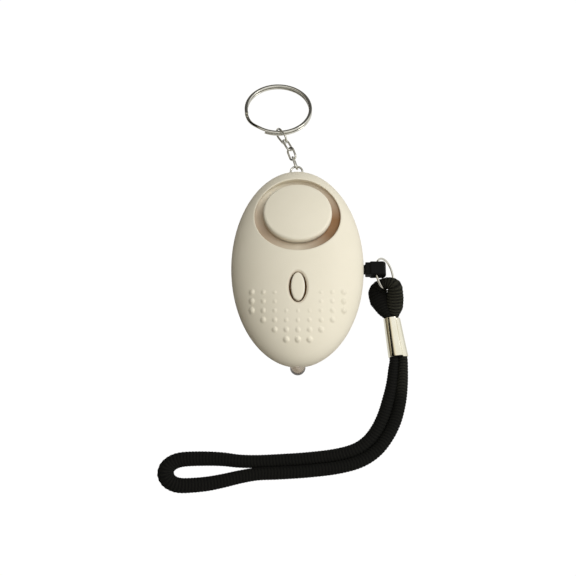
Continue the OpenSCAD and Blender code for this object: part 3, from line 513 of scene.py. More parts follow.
# A bore in the moat's floor takes the cap's drum, and ends at the level floor that the drum stands over
bore = siren_c + (DRUM_R + DRUM_PLAY + (moat_at[1] - SIREN_Y) * ray_out[:, 1:]) * ray_out
ledge = bore + FILLET * ray_out
fillet = bent(on_moat(ledge), on_moat(bore), on_moat(bore, FILLET), 6)
bore_top = fillet[-1]
bore_foot = bore_top - ((bore_top[:, 2:] - FLOOR_Z) / cap_axis[2]) * cap_axis
floor = ring_rows(siren_c, recess_angle, [8, 4, 0], [FLOOR_Z] * 3)
recess = np.concatenate([rim, well, foot, fillet, bore_foot[None], floor])
# The same half from inside: skin, outer wall of the recess, seat of the sounder, underside of the floor
plan, angle = spokes(top_in, siren_c, lambda a: np.full(a.shape, RECESS_R + WALL), 14)
skin_top_in = at_height(plan, np.maximum(front_z(plan, WALL), SEAT_Z))
seat = ring_rows(siren_c, angle, [RECESS_R + WALL, SEAT_R, SEAT_R, 6, 0], [SEAT_Z] * 2 + [UNDER_Z] * 3)
inside_top = np.concatenate([seat[::-1], skin_top_in])

# Button's half: skin with dots, dished rim, wall of the hole, inner skin
plan, angle = spokes(low_out, button_c, lambda a: oval_radius(a, DISH), 96)
skin_low = on_front(plan, lift=dots(plan[..., 0], plan[..., 1]))
grow = np.linspace(DISH, 0, DISH_ROWS)
sink = DISH_DEEP * (1 - grow / DISH) ** DISH_CURVE
dish_plan = ring_rows(button_c, angle, [oval_radius(angle, g) for g in grow], np.zeros(DISH_ROWS))[..., :2]
dish = on_front(dish_plan, lift=-sink[:, None])
plan, _ = spokes(low_in, button_c, lambda a: oval_radius(a, 0.0), 14)
skin_low_in = on_front(plan, WALL)
hole_foot = on_front(dish_plan[-1], WALL)
hole_wall = np.stack([dish[-1], hole_foot])
hole_join = np.stack([hole_foot, skin_low_in[0]])
edge_strip = np.stack([on_front(outer_edge), on_front(inner_edge, WALL)])
front_parts = [skin_top, recess, inside_top, skin_low, dish, hole_wall, hole_join, skin_low_in, edge_strip]
front_grids = [(g, False, True) for g in front_parts]


def depth_marks(grids, deep):
    """How much painted shade each point gets, by how deep in a recess it lies: 0 on the skin, up to 1 where
    the given grids are lowest.
    """
    marks = [np.zeros(g[0].shape[:2]) for g in grids]
    for k, values in deep.items():
        values = np.asarray(values, float)
        marks[k] = np.broadcast_to(values.reshape(len(values), -1), marks[k].shape)
    return np.concatenate([m.ravel() for m in marks])


low_rows = np.ones(len(foot) + len(fillet) + 1 + len(floor))
recess_depth = np.concatenate([np.linspace(0, 0.3, len(rim)), np.linspace(0.5, 1, len(well)), low_rows])
# Painted shade, uneven round the moat: darkest on the pin's side, and some at the far left
MOAT_SHADE_AT = np.radians([-180, -150, -90, -35, -5, 60, 90, 135, 180])
MOAT_SHADE = [0.5, 0.62, 0.28, 0.88, 0.92, 0.32, 0.22, 0.1, 0.5]
moat_shade = np.interp(recess_angle, MOAT_SHADE_AT, MOAT_SHADE)
# Painted shade goes on grids 1, 4 and 5: the recess, the dish and the wall of the hole
front_deep = {1: recess_depth[:, None] * moat_shade, 4: np.linspace(0, 0.3, DISH_ROWS), 5: np.ones(2)}
front_painted_shade = depth_marks(front_grids, front_deep)
piece("front_shell_moulding", front_grids, "case", ["front_shell"], "case_front", 50, {"painted_shade": front_painted_shade})

# %% Back shell
SCREW_X, LOW_X, LOW_Y = 14.9, 12.0, -16.0
WELL_R, WELL_DEEP, POST_R, POST_GAP = 1.95, 3, 2.4, 0.12
SCREW_Y = SIREN_Y - math.sqrt((RECESS_R + WALL + POST_R + POST_GAP) ** 2 - SCREW_X**2)
screws = np.array([[SCREW_X, SCREW_Y], [-SCREW_X, SCREW_Y], [-LOW_X, LOW_Y], [LOW_X, LOW_Y]])
CROSS_Y = -5.4  # the four patches meet here, on the middle line
CROSS_T = math.asin(CROSS_Y / HALF_L)
back_quarters = np.round([CROSS_T % TAU, 0.5 * math.pi, math.pi - CROSS_T, 1.5 * math.pi], 9)
back_t = edge_angles(280, back_quarters)
# Of the outer and the inner skin: the inset, the rise and the height of the flat
OUTSIDE, INSIDE = (SEAM_INSET, BACK_RISE + SEAM_INSET, 0.0), (WALL, BACK_RISE, WALL)


def on_back(plan, inset, rise, flat_z):
    """Plan points put on a skin of the back, an ellipsoid cut level at the flat."""
    return at_height(plan, np.maximum(PARTING - dome(plan[..., 0], plan[..., 1], inset, rise), flat_z))


outer_back, inner_back = (edge_curve(back_t, *skin[:2], False) for skin in (OUTSIDE, INSIDE))
cross = np.array([0.0, (HALF_L - SEAM_INSET) * math.sin(CROSS_T)])
back_grids = []
for k, screw in enumerate(screws):
    start, stop = back_quarters[k], back_quarters[(k + 1) % 4]
    inside = (back_t - start) % TAU <= (stop - start) % TAU + 1e-9
    order = np.argsort((back_t[inside] - start) % TAU)
    rim_line = outer_back[inside][order]
    share = np.linspace(0, 1, 32)[1:, None]
    inward = rim_line[-1] + (cross - rim_line[-1]) * share
    outline = np.concatenate([rim_line, inward, cross + (rim_line[0] - cross) * share[:-1]])
    plan, angle = spokes(outline, screw, lambda a: np.full(a.shape, WELL_R), 26)
    skin = on_back(plan, *OUTSIDE)
    seat_z = on_back(screw, 0.0, BACK_RISE, 0.0)[2] + WELL_DEEP
    bore = np.concatenate([skin[:1], ring_rows(screw, angle, [WELL_R, 0], [seat_z, seat_z])])
    back_grids += [(skin, False, True), (bore, False, True)]
plan = inner_back * np.sin(np.linspace(math.pi / 2, 0, 22))[:, None, None]
back_grids.append((on_back(plan, *INSIDE), False, True))
back_grids.append((np.stack([on_back(outer_back, *OUTSIDE), on_back(inner_back, *INSIDE)]), False, True))
LIP_SLICES, LIP_PAST = 9, 0.06


def lamp_lip(side):
    """Fills the corner that the stepped edge leaves beside the lamp, so that its hole is round: level slices
    under the parting plane, each from the hole's circle to just past the step, through the wall."""
    deep = np.linspace(0, LAMP_DROP, LIP_SLICES)
    near_x = np.sqrt(LAMP_HOLE_R**2 - (LAMP_DROP - deep) ** 2)
    far_x = np.full(LIP_SLICES, LAMP_HOLE_R + LIP_PAST)
    outer, inner = (SEAM_INSET, BACK_RISE), (WALL, BACK_RISE - WALL)
    corners = []
    for x, (inset, rise) in ((near_x, outer), (far_x, outer), (far_x, inner), (near_x, inner)):
        y = -(HALF_L - inset) * np.sqrt(1 - (x / (HALF_W - inset)) ** 2 - (deep / rise) ** 2)
        corners.append(np.column_stack([side * x, y, PARTING - deep]))
    return closed_ends(np.stack(corners, 1))


back_grids += [(lamp_lip(side), False, True) for side in (-1, 1)]

# %% [markdown]
# ## Eyes: a plate with a hole and rounded edges
# The chain's lug and the head of the pull pin are both a plate with a hole. Round the hole, at each angle,
# a rounded rectangle stands between the hole and the outline. Carried once round, it makes a closed ring
# with every edge softened, as a moulding has.

# %% Eyelets
EYE_SIDES, EYE_CORNER = 96, 5
FAR = 9  # farther out than any side that counts


def eyelet(centre, right, upward, outline, hole_r, half, soft):
    """A plate with a hole in the plane of right and upward: at each angle a rectangle from the hole's radius
    to the outline's, half thick to each side, with corners rounded by soft."""
    a = turns(EYE_SIDES)
    spoke = np.cos(a)[:, None] * right + np.sin(a)[:, None] * upward
    q = np.broadcast_to(np.linspace(0, math.pi / 2, EYE_CORNER), (EYE_SIDES, EYE_CORNER))
    near, far = hole_r + soft * (1 - np.cos(q)), outline(a)[:, None] - soft * (1 - np.cos(q))
    high = half - soft * (1 - np.sin(q))
    radius = np.concatenate([far, near[:, ::-1], near, far[:, ::-1]], 1)
    high = np.concatenate([high, high[:, ::-1], -high, -high[:, ::-1]], 1)
    return centre + radius[..., None] * spoke[:, None] + high[..., None] * np.cross(right, upward)


def plate_radius(a, left, half):
    """Radius of a plate round its inner point, by angle: the nearest side that the ray meets. The plate ends
    left of the point, is half wide to each side, and is open to the right."""
    c, s = np.cos(a), np.sin(a)
    along = np.where(c > 0, FAR, left) / np.maximum(np.abs(c), 1e-9)
    return np.minimum(along, half / np.maximum(np.abs(s), 1e-9))


LUG_AT = np.array([0, HALF_L + 0.7, PARTING - 3.7])
LUG_R, LUG_HOLE_R, LUG_HALF, LUG_TAIL, LUG_SOFT = 1.6, 0.775, 1.0, 4.6, 0.3


def lug_outline(a):
    """A half circle towards the chain, and a straight plate back into the case."""
    return np.where(np.cos(a) >= 0, LUG_R, plate_radius(a, LUG_TAIL, LUG_R))


back_grids.append((eyelet(LUG_AT, y_axis, z_axis, lug_outline, LUG_HOLE_R, LUG_HALF, LUG_SOFT), True, True))
# Painted shade in the screw wells, darker towards their seats
back_painted_shade = depth_marks(back_grids, {k: [0, 0.8, 1] for k in (1, 3, 5, 7)})
piece("back_shell_moulding", back_grids, "case", ["back_shell"], "case_back", 50, {"painted_shade": back_painted_shade})

# %% [markdown]
# ## Siren cap, lamp button and lamp
# The cap is a turned drum with a softly crowned face and a rounded edge, on a stem; it leans with the
# case's slope and ends just over the recess floor, where the sound comes out. The button is an oval that
# follows the case's curve, its top edge rounded. The lamp is a 5 mm lamp of clear epoxy; inside it, a
# small cup holds the chip and a post holds its wire.

# %% Siren cap
CAP_T, CAP_CROWN, CAP_EDGE, DRUM_LOW = 3.2, 50.0, 1.1, -9
STEM_R, STEM_H = 4.0, 0.6
SHADE_FROM, SHADE_SPAN = 1.6, 12  # how far under the cap's middle the painted shade begins, and how slowly it deepens
face_r = np.linspace(0, CAP_R - CAP_EDGE, 16)
face = np.column_stack([face_r, np.sqrt(CAP_CROWN**2 - face_r**2) - CAP_CROWN])
brow, cheek = (np.array([CAP_R, face[-1, 1] - down]) for down in (0.1, CAP_EDGE + 0.2))
edge = bent(face[-1], brow, cheek, 10)[1:, 0]
under = np.array([[CAP_R, -CAP_T + 0.2], [CAP_R - 0.06, -CAP_T + 0.06], [DRUM_R, -CAP_T]])
drum = np.column_stack([np.full(6, DRUM_R), np.linspace(-CAP_T - 0.2, DRUM_LOW, 6)])
cap_profile = np.concatenate([face, edge, under, drum])
cap_grid = turned(cap_profile, 128, cap_top, cap_axis)
# The drum ends level, a little over the recess floor
drum_foot = FLOOR_Z + DRUM_GAP
lift = np.maximum(drum_foot - cap_grid[..., 2], 0) / cap_axis[2]
cap_grid = cap_grid + lift[..., None] * cap_axis
ends = np.linspace(1, 0, 5)[1:, None]
bottom = cap_grid[:, -1:] * ends[None] + cap_grid[:, -1].mean(0) * (1 - ends[None])
cap_grid = np.concatenate([cap_grid, bottom], 1)
# Painted shade on the cap: deepening down the drum, full under it and on the stem
cap_deep = np.concatenate([np.clip((-cap_profile[:, 1] - SHADE_FROM) / SHADE_SPAN, 0, 1), np.ones(len(ends))])
cap_marks = np.broadcast_to(cap_deep, cap_grid.shape[:2])
stem_profile = np.array([[0, STEM_H], [STEM_R, STEM_H], [STEM_R, 0], [0, 0]])
stem_grid = turned(stem_profile, 48, [0, SIREN_Y, FLOOR_Z], z_axis)
cap_painted_shade = np.concatenate([cap_marks.ravel(), np.ones(stem_grid.shape[0] * stem_grid.shape[1])])
cap_grids = [(cap_grid, True, False), (stem_grid, True, False)]
piece("siren_cap_disc", cap_grids, "case", ["siren_cap"], "case_front", 50, {"painted_shade": cap_painted_shade})

# %% Lamp button
KEY_PROUD, KEY_SOFT, KEY_SKIRT = 0.3, 0.45, 2.2
FLANGE, FLANGE_T = 0.85, 0.9
key_angle = turns(160)
key_grow = -np.array([0, 0, 0.03, 0.1, 0.22, KEY_SOFT])
key_sink = np.array([KEY_SKIRT, KEY_SOFT, 0.24, 0.11, 0.03, 0, 0, 0, 0, 0])
key_rows = [oval_radius(key_angle, g, BUTTON_W, BUTTON_L) for g in key_grow]
key_rows += [key_rows[-1] * s for s in (0.75, 0.5, 0.25, 0)]
key_plan = ring_rows(button_c, key_angle, key_rows, np.zeros(len(key_rows)))[..., :2]
key_top = on_front(key_plan, -KEY_PROUD, -key_sink[:, None])
flange_z = float(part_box("led_button")[0][2]) * 1000
flange_r = oval_radius(key_angle, FLANGE)
flange_rows = [key_rows[0], flange_r, flange_r, key_rows[0] * 0]
flange = ring_rows(button_c, key_angle, flange_rows, flange_z + np.array([FLANGE_T, FLANGE_T, 0, 0]))
key_grid = np.concatenate([flange[::-1], key_top])
# Painted shade on the flange and the foot of the button's skirt, under the case's skin
key_painted_shade = np.zeros(key_grid.shape[:2])
key_painted_shade[:5] = 1
key_grids = [(key_grid, False, True)]
piece("lamp_button_key", key_grids, "button", ["led_button"], "case_front", 50, {"painted_shade": key_painted_shade})

# %% Lamp with its cup and post
LAMP_OUT, LAMP_L = 1.9, 8.6
CUP = [[0, 3.5], [0.45, 3.5], [0.85, 3.0], [0.95, 3.0], [0.95, 4.6], [0.5, 5.0], [0.4, 8.0], [0, 8.0]]
POST = [[0, 3.2], [0.35, 3.2], [0.35, 4.6], [0.25, 5.0], [0.25, 8.0], [0, 8.0]]
lamp_tip = np.array([0, -HALF_L - LAMP_OUT, PARTING - LAMP_DROP])
cap_a = np.linspace(0, math.pi / 2, 16)
lens = np.column_stack([LAMP_R * np.sin(cap_a), LAMP_R * (1 - np.cos(cap_a))])
barrel = [[LAMP_R, 4], [LAMP_R, 6], [LAMP_R, LAMP_L - 0.1], [LAMP_R - 0.1, LAMP_L], [0, LAMP_L]]
lamp_grid = turned(np.concatenate([lens, barrel]), 64, lamp_tip, y_axis)
piece("lamp_lens", [(lamp_grid, True, False)], "case", ["led_lamp"], "lamp", 50)
cup = turned(CUP, 32, lamp_tip - 0.35 * x_axis, y_axis)
post = turned(POST, 24, lamp_tip + 1.15 * x_axis, y_axis)
piece("lamp_cup_and_post", [(cup, True, False), (post, True, False)], "case", [], "nickel", 40)

# %% [markdown]
# ## Pull pin
# The pin is moulded in black plastic: a flat blade that holds the alarm's contacts apart, a square neck
# and a thicker head with an eye along the case. The neck and the blade are rounded rectangles carried
# along X; the head is an eyelet whose hole runs along Y.

# %% Pull pin
BLADE_TIP, HEAD_X, HEAD_END = 9.25, 22.25, 29.05
BLADE, NECK, NECK_END = (1.45, 0.8), (2.15, 1.5), 25.2  # half width and half height of the blade and the neck
EYE_R, HEAD_HALF_H, HEAD_BACK, HEAD_SOFT = 0.95, 1.9, 2.2, 0.4


def bar(stations, soft):
    """A bar along X: a rounded rectangle at each station (x, half width along Y, half height along Z)."""
    q = around(turns(48))
    rows = []
    for x, y, z in stations:
        r = min(soft, y, z)
        section = np.array([PIN_Y, PARTING]) + np.sign(q) * [y - r, z - r] + r * q
        rows.append(np.insert(section, 0, x, axis=1))
    return closed_ends(np.stack(rows))


def head_outline(a):
    """A circle of the head's radius, cut flat above and below. Its corners are eased: the radius is at most
    its own mean over five steps."""
    radius = np.minimum(HEAD_END - EYE_AT[0], plate_radius(a, HEAD_BACK, HEAD_HALF_H))
    return np.minimum(radius, sum(np.roll(radius, k) for k in range(-2, 3)) / 5)


blade = bar([(BLADE_TIP, 1.1, 0.4), (BLADE_TIP + 0.5, *BLADE), (18, *BLADE), (HEAD_X + 0.5, *BLADE)], 0.2)
neck_front = [(HEAD_X, 1.95, 1.3), (HEAD_X + 0.06, 2.1, 1.45), (HEAD_X + 0.2, *NECK)]
neck = bar([*neck_front, (NECK_END - 0.2, *NECK), (NECK_END, *NECK)], 0.35)
head = eyelet(EYE_AT, x_axis, z_axis, head_outline, EYE_R, PIN_HEAD_HALF, HEAD_SOFT)
pin_grids = [(blade, False, True), (neck, False, True), (head, True, True)]
piece("pull_pin_moulding", pin_grids, "pull_pin", ["pull_pin"], "black_plastic", 40)

# %% [markdown]
# ## Rings and chain
# All the small hardware is bent wire: a round ring in the pin's eye, a round ring in the case's lug, three
# oval links and a longer end link, and a key ring of flat wire wound in two turns. Each is a wire profile
# carried along its bend. The links hang in the same places and turns as in the CAD.

# %% Wire shapes
LINK_WIRE = 0.75


def wire(d):
    """Profile of a round wire, d thick."""
    return d / 2 * around(turns(16))


def link_path(length, width, d, n):
    """Middle line of a link of wire d thick in its own plane, from its rear end forwards along X: two
    straights, each s long, and two half circles of radius r, with n points evenly spaced."""
    r, s = (width - d) / 2, length - width + 1e-6
    bend = np.pi * r
    run = np.linspace(0, 2 * s + 2 * bend, n, endpoint=False)
    a = np.clip((run - s) / r, 0, np.pi) + np.clip((run - 2 * s - bend) / r, 0, np.pi)
    stretches = [run < s, run < s + bend, run < 2 * s + bend]
    x = np.select(stretches, [s / 2 - run, np.full(n, -s / 2), run - 1.5 * s - bend], s / 2)
    return np.column_stack([x - r * np.sin(a) + (length - d) / 2, r * np.cos(a), np.zeros(n)])


def rot(axis, degrees):
    """Turning matrix about one of the three axes."""
    c, s = math.cos(math.radians(degrees)), math.sin(math.radians(degrees))
    about = {
        "x": [[1, 0, 0], [0, c, -s], [0, s, c]],
        "y": [[c, 0, s], [0, 1, 0], [-s, 0, c]],
        "z": [[c, -s, 0], [s, c, 0], [0, 0, 1]],
    }
    return np.array(about[axis])


# %% Ring in the pin's eye
a = turns(160)[:, None]
ring_line = ring_at + RING_R * (np.cos(a) * y_axis + np.sin(a) * ring_dir)
ring_grid = carry(ring_line, loop_side, wire(RING_WIRE), True)
piece("pin_ring_wire", [(ring_grid, True, True)], "pin_ring", ["pin_ring"], "steel", 60)

# %% Chain
CHAIN = [  # node, length, width, heading left of +Y, fall, roll
    ("lug_ring", 4.8, 4.8, 4, 2, 0),
    ("chain_link_1", 5.6, 3.1, 16, 3, 72),
    ("chain_link_2", 5.6, 3.1, 18, 4, 144),
    ("chain_link_3", 5.6, 3.1, 26, 6, 36),
    ("end_link", 6.8, 4.6, 32, 8, 108),
]
CHAIN_GAP = 0.15
lug_ring_r = (CHAIN[0][1] - LINK_WIRE) / 2
front_end, back = LUG_AT, (lug_ring_r - math.sqrt(lug_ring_r**2 - LUG_HALF**2)) / 2
for name, length, width, heading, fall, roll in CHAIN:
    turn = rot("z", 90 + heading) @ rot("y", fall) @ rot("x", roll)
    forward = turn @ x_axis
    rear = front_end - back * forward
    line = link_path(length, width, LINK_WIRE, 96) @ turn.T + rear
    grid = carry(line, turn @ z_axis, wire(LINK_WIRE), True)
    piece(name + "_wire", [(grid, True, True)], name, [name], "steel", 60)
    front_end, back = rear + (length - LINK_WIRE) * forward, LINK_WIRE + CHAIN_GAP

# %% Key ring
KEY_D, KEY_W, KEY_T, KEY_GAP = 23.0, 1.2, 0.7, 0.42
KEY_PLAY = 0.12  # a little more play than in the CAD, for the rounder wire
KEY_CLEAR, KEY_HEADING, KEY_ROUND = 0.03, -2.5, 0.8
STEP_TURN, JUMP_AT = 9, 132  # degrees wound in one step, and where the wire changes turns, at step 40 of 80
key_reach = KEY_W / 2 + LINK_WIRE / 2 + CHAIN_GAP + KEY_PLAY
key_drop = front_end[2] - (2 * KEY_T + KEY_GAP) / 2 - KEY_CLEAR
key_fall = math.degrees(math.asin(key_drop / (KEY_D - key_reach + KEY_W / 2)))
turn = rot("z", 90 + KEY_HEADING) @ rot("y", key_fall)
key_rear = front_end - key_reach * (turn @ x_axis)
steps = np.linspace(3, 77, 420)
key_a = np.radians(JUMP_AT + (steps - 40) * STEP_TURN)
ramp = np.clip((steps - 38) / 4, 0, 1)
key_h = (KEY_T + KEY_GAP) * (ramp**2 * (3 - 2 * ramp) - 0.5)
key_line = np.column_stack([KEY_D / 2 * (around(key_a) + [1, 0]), key_h]) @ turn.T + key_rear
round_q = around(turns(20))
flat_wire = np.sign(round_q) * np.abs(round_q) ** KEY_ROUND * [KEY_W / 2, KEY_T / 2]
key_grid = closed_ends(carry(key_line, turn @ z_axis, flat_wire))
piece("key_ring_wire", [(key_grid, False, True)], "key_ring", ["key_ring"], "steel", 50)

# %% [markdown]
# ## Finishes
# Colours are sRGB hex values, turned to linear light by one function. One small function adds a node with
# its settings and links, and a few more name the kinds that come up often. Patterns read Object
# coordinates, which are metres here, so a scale is one over a size in metres.


# %% Colour and node helpers
def colour(code):
    """Linear RGBA of an sRGB hex value: c / 12.92 below 0.04045, else ((c + 0.055) / 1.055)^2.4."""
    c = np.array([int(code[k : k + 2], 16) for k in (1, 3, 5)]) / 255
    return (*np.where(c <= 0.04045, c / 12.92, ((c + 0.055) / 1.055) ** 2.4), 1.0)


def connect(node, inputs):
    """Sets inputs of a node, each to a value or from another node's output socket."""
    for key, value in inputs.items():
        if isinstance(value, bpy.types.NodeSocket):
            node.id_data.links.new(value, node.inputs[key])
        else:
            node.inputs[key].default_value = value


def add(tree, kind, inputs, **settings):
    """One more node, with its settings and its inputs."""
    made = tree.nodes.new(kind)
    for key, value in settings.items():
        setattr(made, key, value)
    connect(made, inputs)
    return made


def spots(tree, size, detail):
    """Noise from 0 to 1 on Object coordinates, in spots of about this size in millimetres."""
    where = add(tree, "ShaderNodeTexCoord", {}).outputs["Object"]
    inputs = {"Vector": where, "Scale": 1 / (size * MM), "Detail": detail}
    return add(tree, "ShaderNodeTexNoise", inputs).outputs["Fac"]


def blend(tree, share, first, second):
    """A colour between two. A Mix node has one socket of each name for every data type, so the colours go in
    and out by position."""
    return add(tree, "ShaderNodeMix", {"Factor": share, 6: first, 7: second}, data_type="RGBA").outputs[2]


def stretch(tree, value, source, target, kind="LINEAR"):
    """A value taken from the source range to the target range, and kept inside it."""
    inputs = {"Value": value, "From Min": source[0], "From Max": source[1]}
    inputs |= {"To Min": target[0], "To Max": target[1]}
    return add(tree, "ShaderNodeMapRange", inputs, interpolation_type=kind).outputs["Result"]


def calc(tree, operation, first, second):
    """Arithmetic on two values."""
    return add(tree, "ShaderNodeMath", {0: first, 1: second}, operation=operation).outputs["Value"]


def raised(tree, height, strength, distance):
    """Bump: the shading direction of a surface with this height pattern, distance metres high."""
    inputs = {"Height": height, "Strength": strength, "Distance": distance}
    return add(tree, "ShaderNodeBump", inputs).outputs["Normal"]


def finish_of(name, **sockets):
    """A material and its Principled shader, whose constant sockets are set directly."""
    made = bpy.data.materials.new(name)
    made.use_nodes = True
    shader = made.node_tree.nodes["Principled BSDF"]
    connect(shader, {key.replace("_", " "): value for key, value in sockets.items()})
    return made, shader


def wear(shader, base, worn, spot, rough, bump, relief):
    """Mottled colour between two tones in spots of a given size, roughness between two values in finer
    spots, and a fine grain as bump."""
    tree = shader.id_data
    tone = blend(tree, spots(tree, spot, 4.0), colour(base), colour(worn))
    gloss = stretch(tree, spots(tree, spot / 5, 3.0), (0.0, 1.0), rough)
    grain = raised(tree, spots(tree, bump, 2.0), 0.25, relief)
    connect(shader, {"Base Color": tone, "Roughness": gloss, "Normal": grain})
    return tone


def paint_shade(shader, tone, brown):
    """Painted shade: where the shade mark is high, deep in a recess or in a gap, the colour goes over to a
    warm brown.
    """
    tree = shader.id_data
    mark = add(tree, "ShaderNodeAttribute", {}, attribute_name="painted_shade").outputs["Fac"]
    connect(shader, {"Base Color": blend(tree, mark, tone, colour(brown))})


# %% [markdown]
# ### Ivory ABS
# The case is injection-moulded ABS with a fine eroded satin. Its broad soft gloss comes from a roughness
# between 0.55 and 0.7 and a low specular level. The grain is drawn at 0.4 mm, coarser than the real
# 0.1 mm, so that it shows at all. Shade is painted into the colour: where the shade mark is high, in the
# recess, round the button, in the screw wells and under the cap, it goes over to a warm brown.

# %% Case finishes
SATIN, GRAIN, FINE_RELIEF = (0.55, 0.7), 0.4, 0.00002
ivory, shader = finish_of("moulded_ivory_abs", IOR=1.53, Specular_IOR_Level=0.22)
paint_shade(shader, wear(shader, "#e9e3d1", "#e3ddc9", 9, SATIN, GRAIN, FINE_RELIEF), "#80531c")
# The back's tones are darker and yellower than the front's
ivory_back, shader = finish_of("moulded_ivory_abs_back", IOR=1.53, Specular_IOR_Level=0.22)
paint_shade(shader, wear(shader, "#d8cfb5", "#d1c7aa", 9, SATIN, GRAIN, FINE_RELIEF), "#8a6f4c")
black_abs, shader = finish_of("moulded_black_abs", IOR=1.53, Specular_IOR_Level=0.08)
wear(shader, "#080808", "#0d0d0d", 4, (0.5, 0.65), 0.35, 0.00004)

# %% [markdown]
# ### Nickel-plated steel
# Bent wire that is tumbled and plated: bright, a little uneven, with dull spots where it has been handled.
# A metal keeps the default IOR, and its colour is the plating's.

# %% Metal finishes
steel, shader = finish_of("nickel_plated_steel", Metallic=1.0)
wear(shader, "#c9c7bd", "#a5a399", 2.5, (0.06, 0.16), 0.5, 0.00001)
sleeve_metal, shader = finish_of("plated_crimp_brass", Metallic=1.0)
wear(shader, "#d2cfc2", "#c4bfa8", 5, (0.1, 0.2), 0.8, FINE_RELIEF)

# %% [markdown]
# ### Knitted polyester
# Dull black yarn. A highlight is painted on the ribs' crests, its strength set point by point along the
# strap, and the valleys stay black. The highlight mark on the mesh says where the ribs are; a fine noise at
# 0.3 mm stands for the yarn.

# %% Cord finish
knit, shader = finish_of("black_polyester_knit", Roughness=0.9, Specular_IOR_Level=0.1)
tree = shader.id_data
painted_crest_highlight = add(tree, "ShaderNodeAttribute", {}, attribute_name="painted_crest_highlight").outputs["Fac"]
yarn = spots(tree, 0.3, 3.0)
# The crests are painted lighter, a highlight broken up by the yarn's noise
tone = blend(tree, calc(tree, "MULTIPLY", painted_crest_highlight, yarn), colour("#080808"), colour("#4a4a3e"))
connect(shader, {"Base Color": tone, "Normal": raised(tree, yarn, 0.4, 0.0001)})

# %% [markdown]
# ### Clear epoxy
# The lamp is cast epoxy. It is clear with a warm smoky tint, smooth, and shows the cup inside it.

# %% Lamp finish
epoxy, shader = finish_of("cast_clear_epoxy", IOR=1.54, Transmission_Weight=0.8)
tree = shader.id_data
swirl = spots(tree, 2.5, 2.0)
tone = blend(tree, swirl, colour("#b3a695"), colour("#a39683"))
connect(shader, {"Base Color": tone, "Roughness": stretch(tree, swirl, (0.0, 1.0), (0.05, 0.12))})

# %% [markdown]
# ### What is inside
# The board, the cells, the sounder and the contacts keep their CAD shapes. Each gets the finish of its own
# material: green lacquer over glass fibre, nickel, brass, fired ceramic, moulded black epoxy, wire in PVC.

# %% Inner finishes
NICKEL = ["led_leads", "positive_contact", "negative_contact", "case_screws", "button_cells"]
BRASS = ["piezo_plate", "alarm_contact_upper", "alarm_contact_lower"]
BLACK = ["piezo_wire_black", "driver_chip", "boost_coil", "transistor", "switch_base"]
INNER = {  # finish: metallic, base tone, second tone, spot in mm, roughness, nodes
    "green_board_lacquer": (0.0, "#2f5c2a", "#3f6b35", 1.5, (0.25, 0.4), ["circuit_board"]),
    "nickel_plate": (1.0, "#c6c7c8", "#a9abad", 2, (0.2, 0.35), NICKEL),
    "rolled_brass": (1.0, "#c9a24a", "#b58c3a", 2, (0.25, 0.4), BRASS),
    "fired_ceramic": (0.0, "#e9e4da", "#dcd6c8", 2, (0.5, 0.65), ["piezo_ceramic"]),
    "red_pvc": (0.0, "#b3201c", "#a51b18", 2, (0.35, 0.5), ["piezo_wire_red"]),
    "black_pvc_and_epoxy": (0.0, "#1b1b1b", "#242424", 1.5, (0.4, 0.6), BLACK),
    "amber_acetal": (0.0, "#a8702c", "#98631f", 2, (0.4, 0.5), ["switch_stem"]),
}
inner_finish = {}
for name, (metal, base, second, spot, rough, nodes) in INNER.items():
    inner_finish[name], shader = finish_of(name, Metallic=metal)
    wear(shader, base, second, spot, rough, 0.5, FINE_RELIEF)
    for node in nodes:
        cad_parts[node].data.materials.clear()
        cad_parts[node].data.materials.append(inner_finish[name])

# %% Each piece gets its finish
FINISHES = {
    "case_front": ivory, "case_back": ivory_back, "black_plastic": black_abs, "ferrule": sleeve_metal,
    "steel": steel, "nickel": inner_finish["nickel_plate"], "cord": knit, "lamp": epoxy,
}
for made, slot in pieces:
    made.data.materials.append(FINISHES[slot])
print(len(pieces), "pieces dressed in", len(FINISHES), "finishes")

# %% [markdown]
# ## Light, floor and world
# The light is a bright part of the sky, to the right and above, and a small softbox on the same side, so
# the left and the near end of the case fall into shade, as in the photograph. The sky goes dark on the far
# side, because bright steel needs something dark to reflect. To the camera, sky and floor are plain white.
# The floor keeps a soft shadow, because part of it is a plain lit surface.

# %% World
KEY_FROM = unit(np.array([0.68, 0.2, 0.7]))
SKY_BRIGHT, SKY_FAR = 1.4, 0.12  # its brightest, and the share of it that is left on the far side
WHITE, WARM = (1, 1, 1, 1), (1, 0.88, 0.66, 1)
scene = bpy.context.scene
scene.view_settings.view_transform = "Standard"
scene.world = bpy.data.worlds.new("studio")
scene.world.use_nodes = True
tree = scene.world.node_tree
way = add(tree, "ShaderNodeTexCoord", {}).outputs["Generated"]
facing = add(tree, "ShaderNodeVectorMath", {0: way, 1: tuple(KEY_FROM)}, operation="DOT_PRODUCT")
facing = facing.outputs["Value"]
far_way = add(tree, "ShaderNodeSeparateXYZ", {"Vector": way}).outputs["Y"]
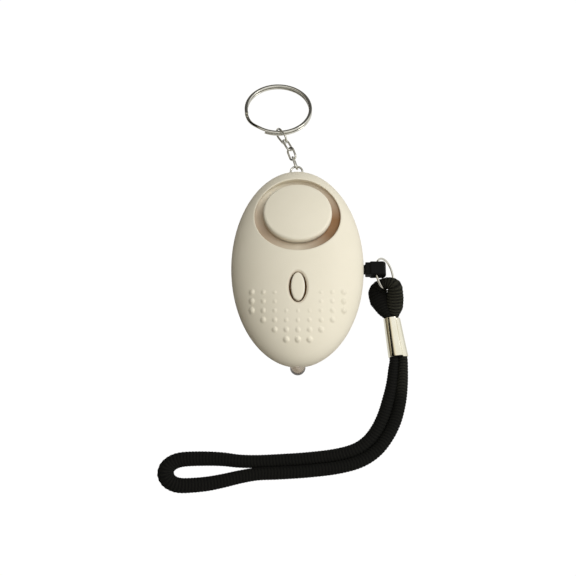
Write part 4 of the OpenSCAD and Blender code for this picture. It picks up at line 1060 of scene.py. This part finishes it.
# It brightens with the cosine of the angle to the light, and dims with the Y part of the way looked
bright = stretch(tree, facing, (0.14, 0.42), (0.0, SKY_BRIGHT), "SMOOTHSTEP")
beyond = stretch(tree, far_way, (0.5, 0.76), (1.0, SKY_FAR), "SMOOTHSTEP")
tint = blend(tree, stretch(tree, facing, (0.2, 0.6), (0.0, 1.0)), WARM, WHITE)
sky = tree.nodes["Background"]
connect(sky, {"Strength": calc(tree, "MULTIPLY", bright, beyond), "Color": tint})
blank = add(tree, "ShaderNodeBackground", {"Color": WHITE, "Strength": 1.0})
to_camera = add(tree, "ShaderNodeLightPath", {}).outputs["Is Camera Ray"]
both = {"Fac": to_camera, 1: sky.outputs["Background"], 2: blank.outputs["Background"]}
behind = add(tree, "ShaderNodeMixShader", both)
connect(tree.nodes["World Output"], {"Surface": behind.outputs["Shader"]})

# %% Floor
FLOOR_HALF, FLOOR_GLOW, FLOOR_SHARE = 15, 1.26, 0.8  # metres, strength, and the glow's share of what is seen
floor_mesh = bpy.data.meshes.new("floor")
corners = [(x * FLOOR_HALF, y * FLOOR_HALF, 0) for x, y in ((-1, -1), (1, -1), (1, 1), (-1, 1))]
floor_mesh.from_pydata(corners, [], [(0, 1, 2, 3)])
floor = bpy.data.objects.new("floor", floor_mesh)
scene.collection.objects.link(floor)
paper, shader = finish_of("white_paper", Roughness=0.9, Base_Color=(0.13, 0.1, 0.06, 1))
tree = shader.id_data
ray = add(tree, "ShaderNodeLightPath", {}).outputs
seen = calc(tree, "MAXIMUM", ray["Is Camera Ray"], ray["Is Glossy Ray"])
seen = calc(tree, "MAXIMUM", seen, ray["Is Transmission Ray"])
white = add(tree, "ShaderNodeEmission", {"Color": WHITE, "Strength": FLOOR_GLOW})
part = calc(tree, "MULTIPLY", seen, FLOOR_SHARE)
both = {"Fac": part, 1: shader.outputs["BSDF"], 2: white.outputs["Emission"]}
table = add(tree, "ShaderNodeMixShader", both)
connect(tree.nodes["Material Output"], {"Surface": table.outputs["Shader"]})
floor_mesh.materials.append(paper)

# %% Softbox
SOFTBOX_AT, SOFTBOX_SIZE, SOFTBOX_POWER = np.array([0.42, 0.2, 0.5]), 0.15, 0.5  # metres, metres, watts
lamp_data = bpy.data.lights.new("softbox", "AREA")
lamp_data.shape = "SQUARE"
lamp_data.size = SOFTBOX_SIZE
lamp_data.energy = SOFTBOX_POWER
softbox = bpy.data.objects.new("softbox", lamp_data)
scene.collection.objects.link(softbox)
softbox.location = SOFTBOX_AT
softbox.rotation_euler = Vector(-SOFTBOX_AT).to_track_quat("-Z", "Y").to_euler()
print("softbox at", SOFTBOX_AT.tolist(), "metres")
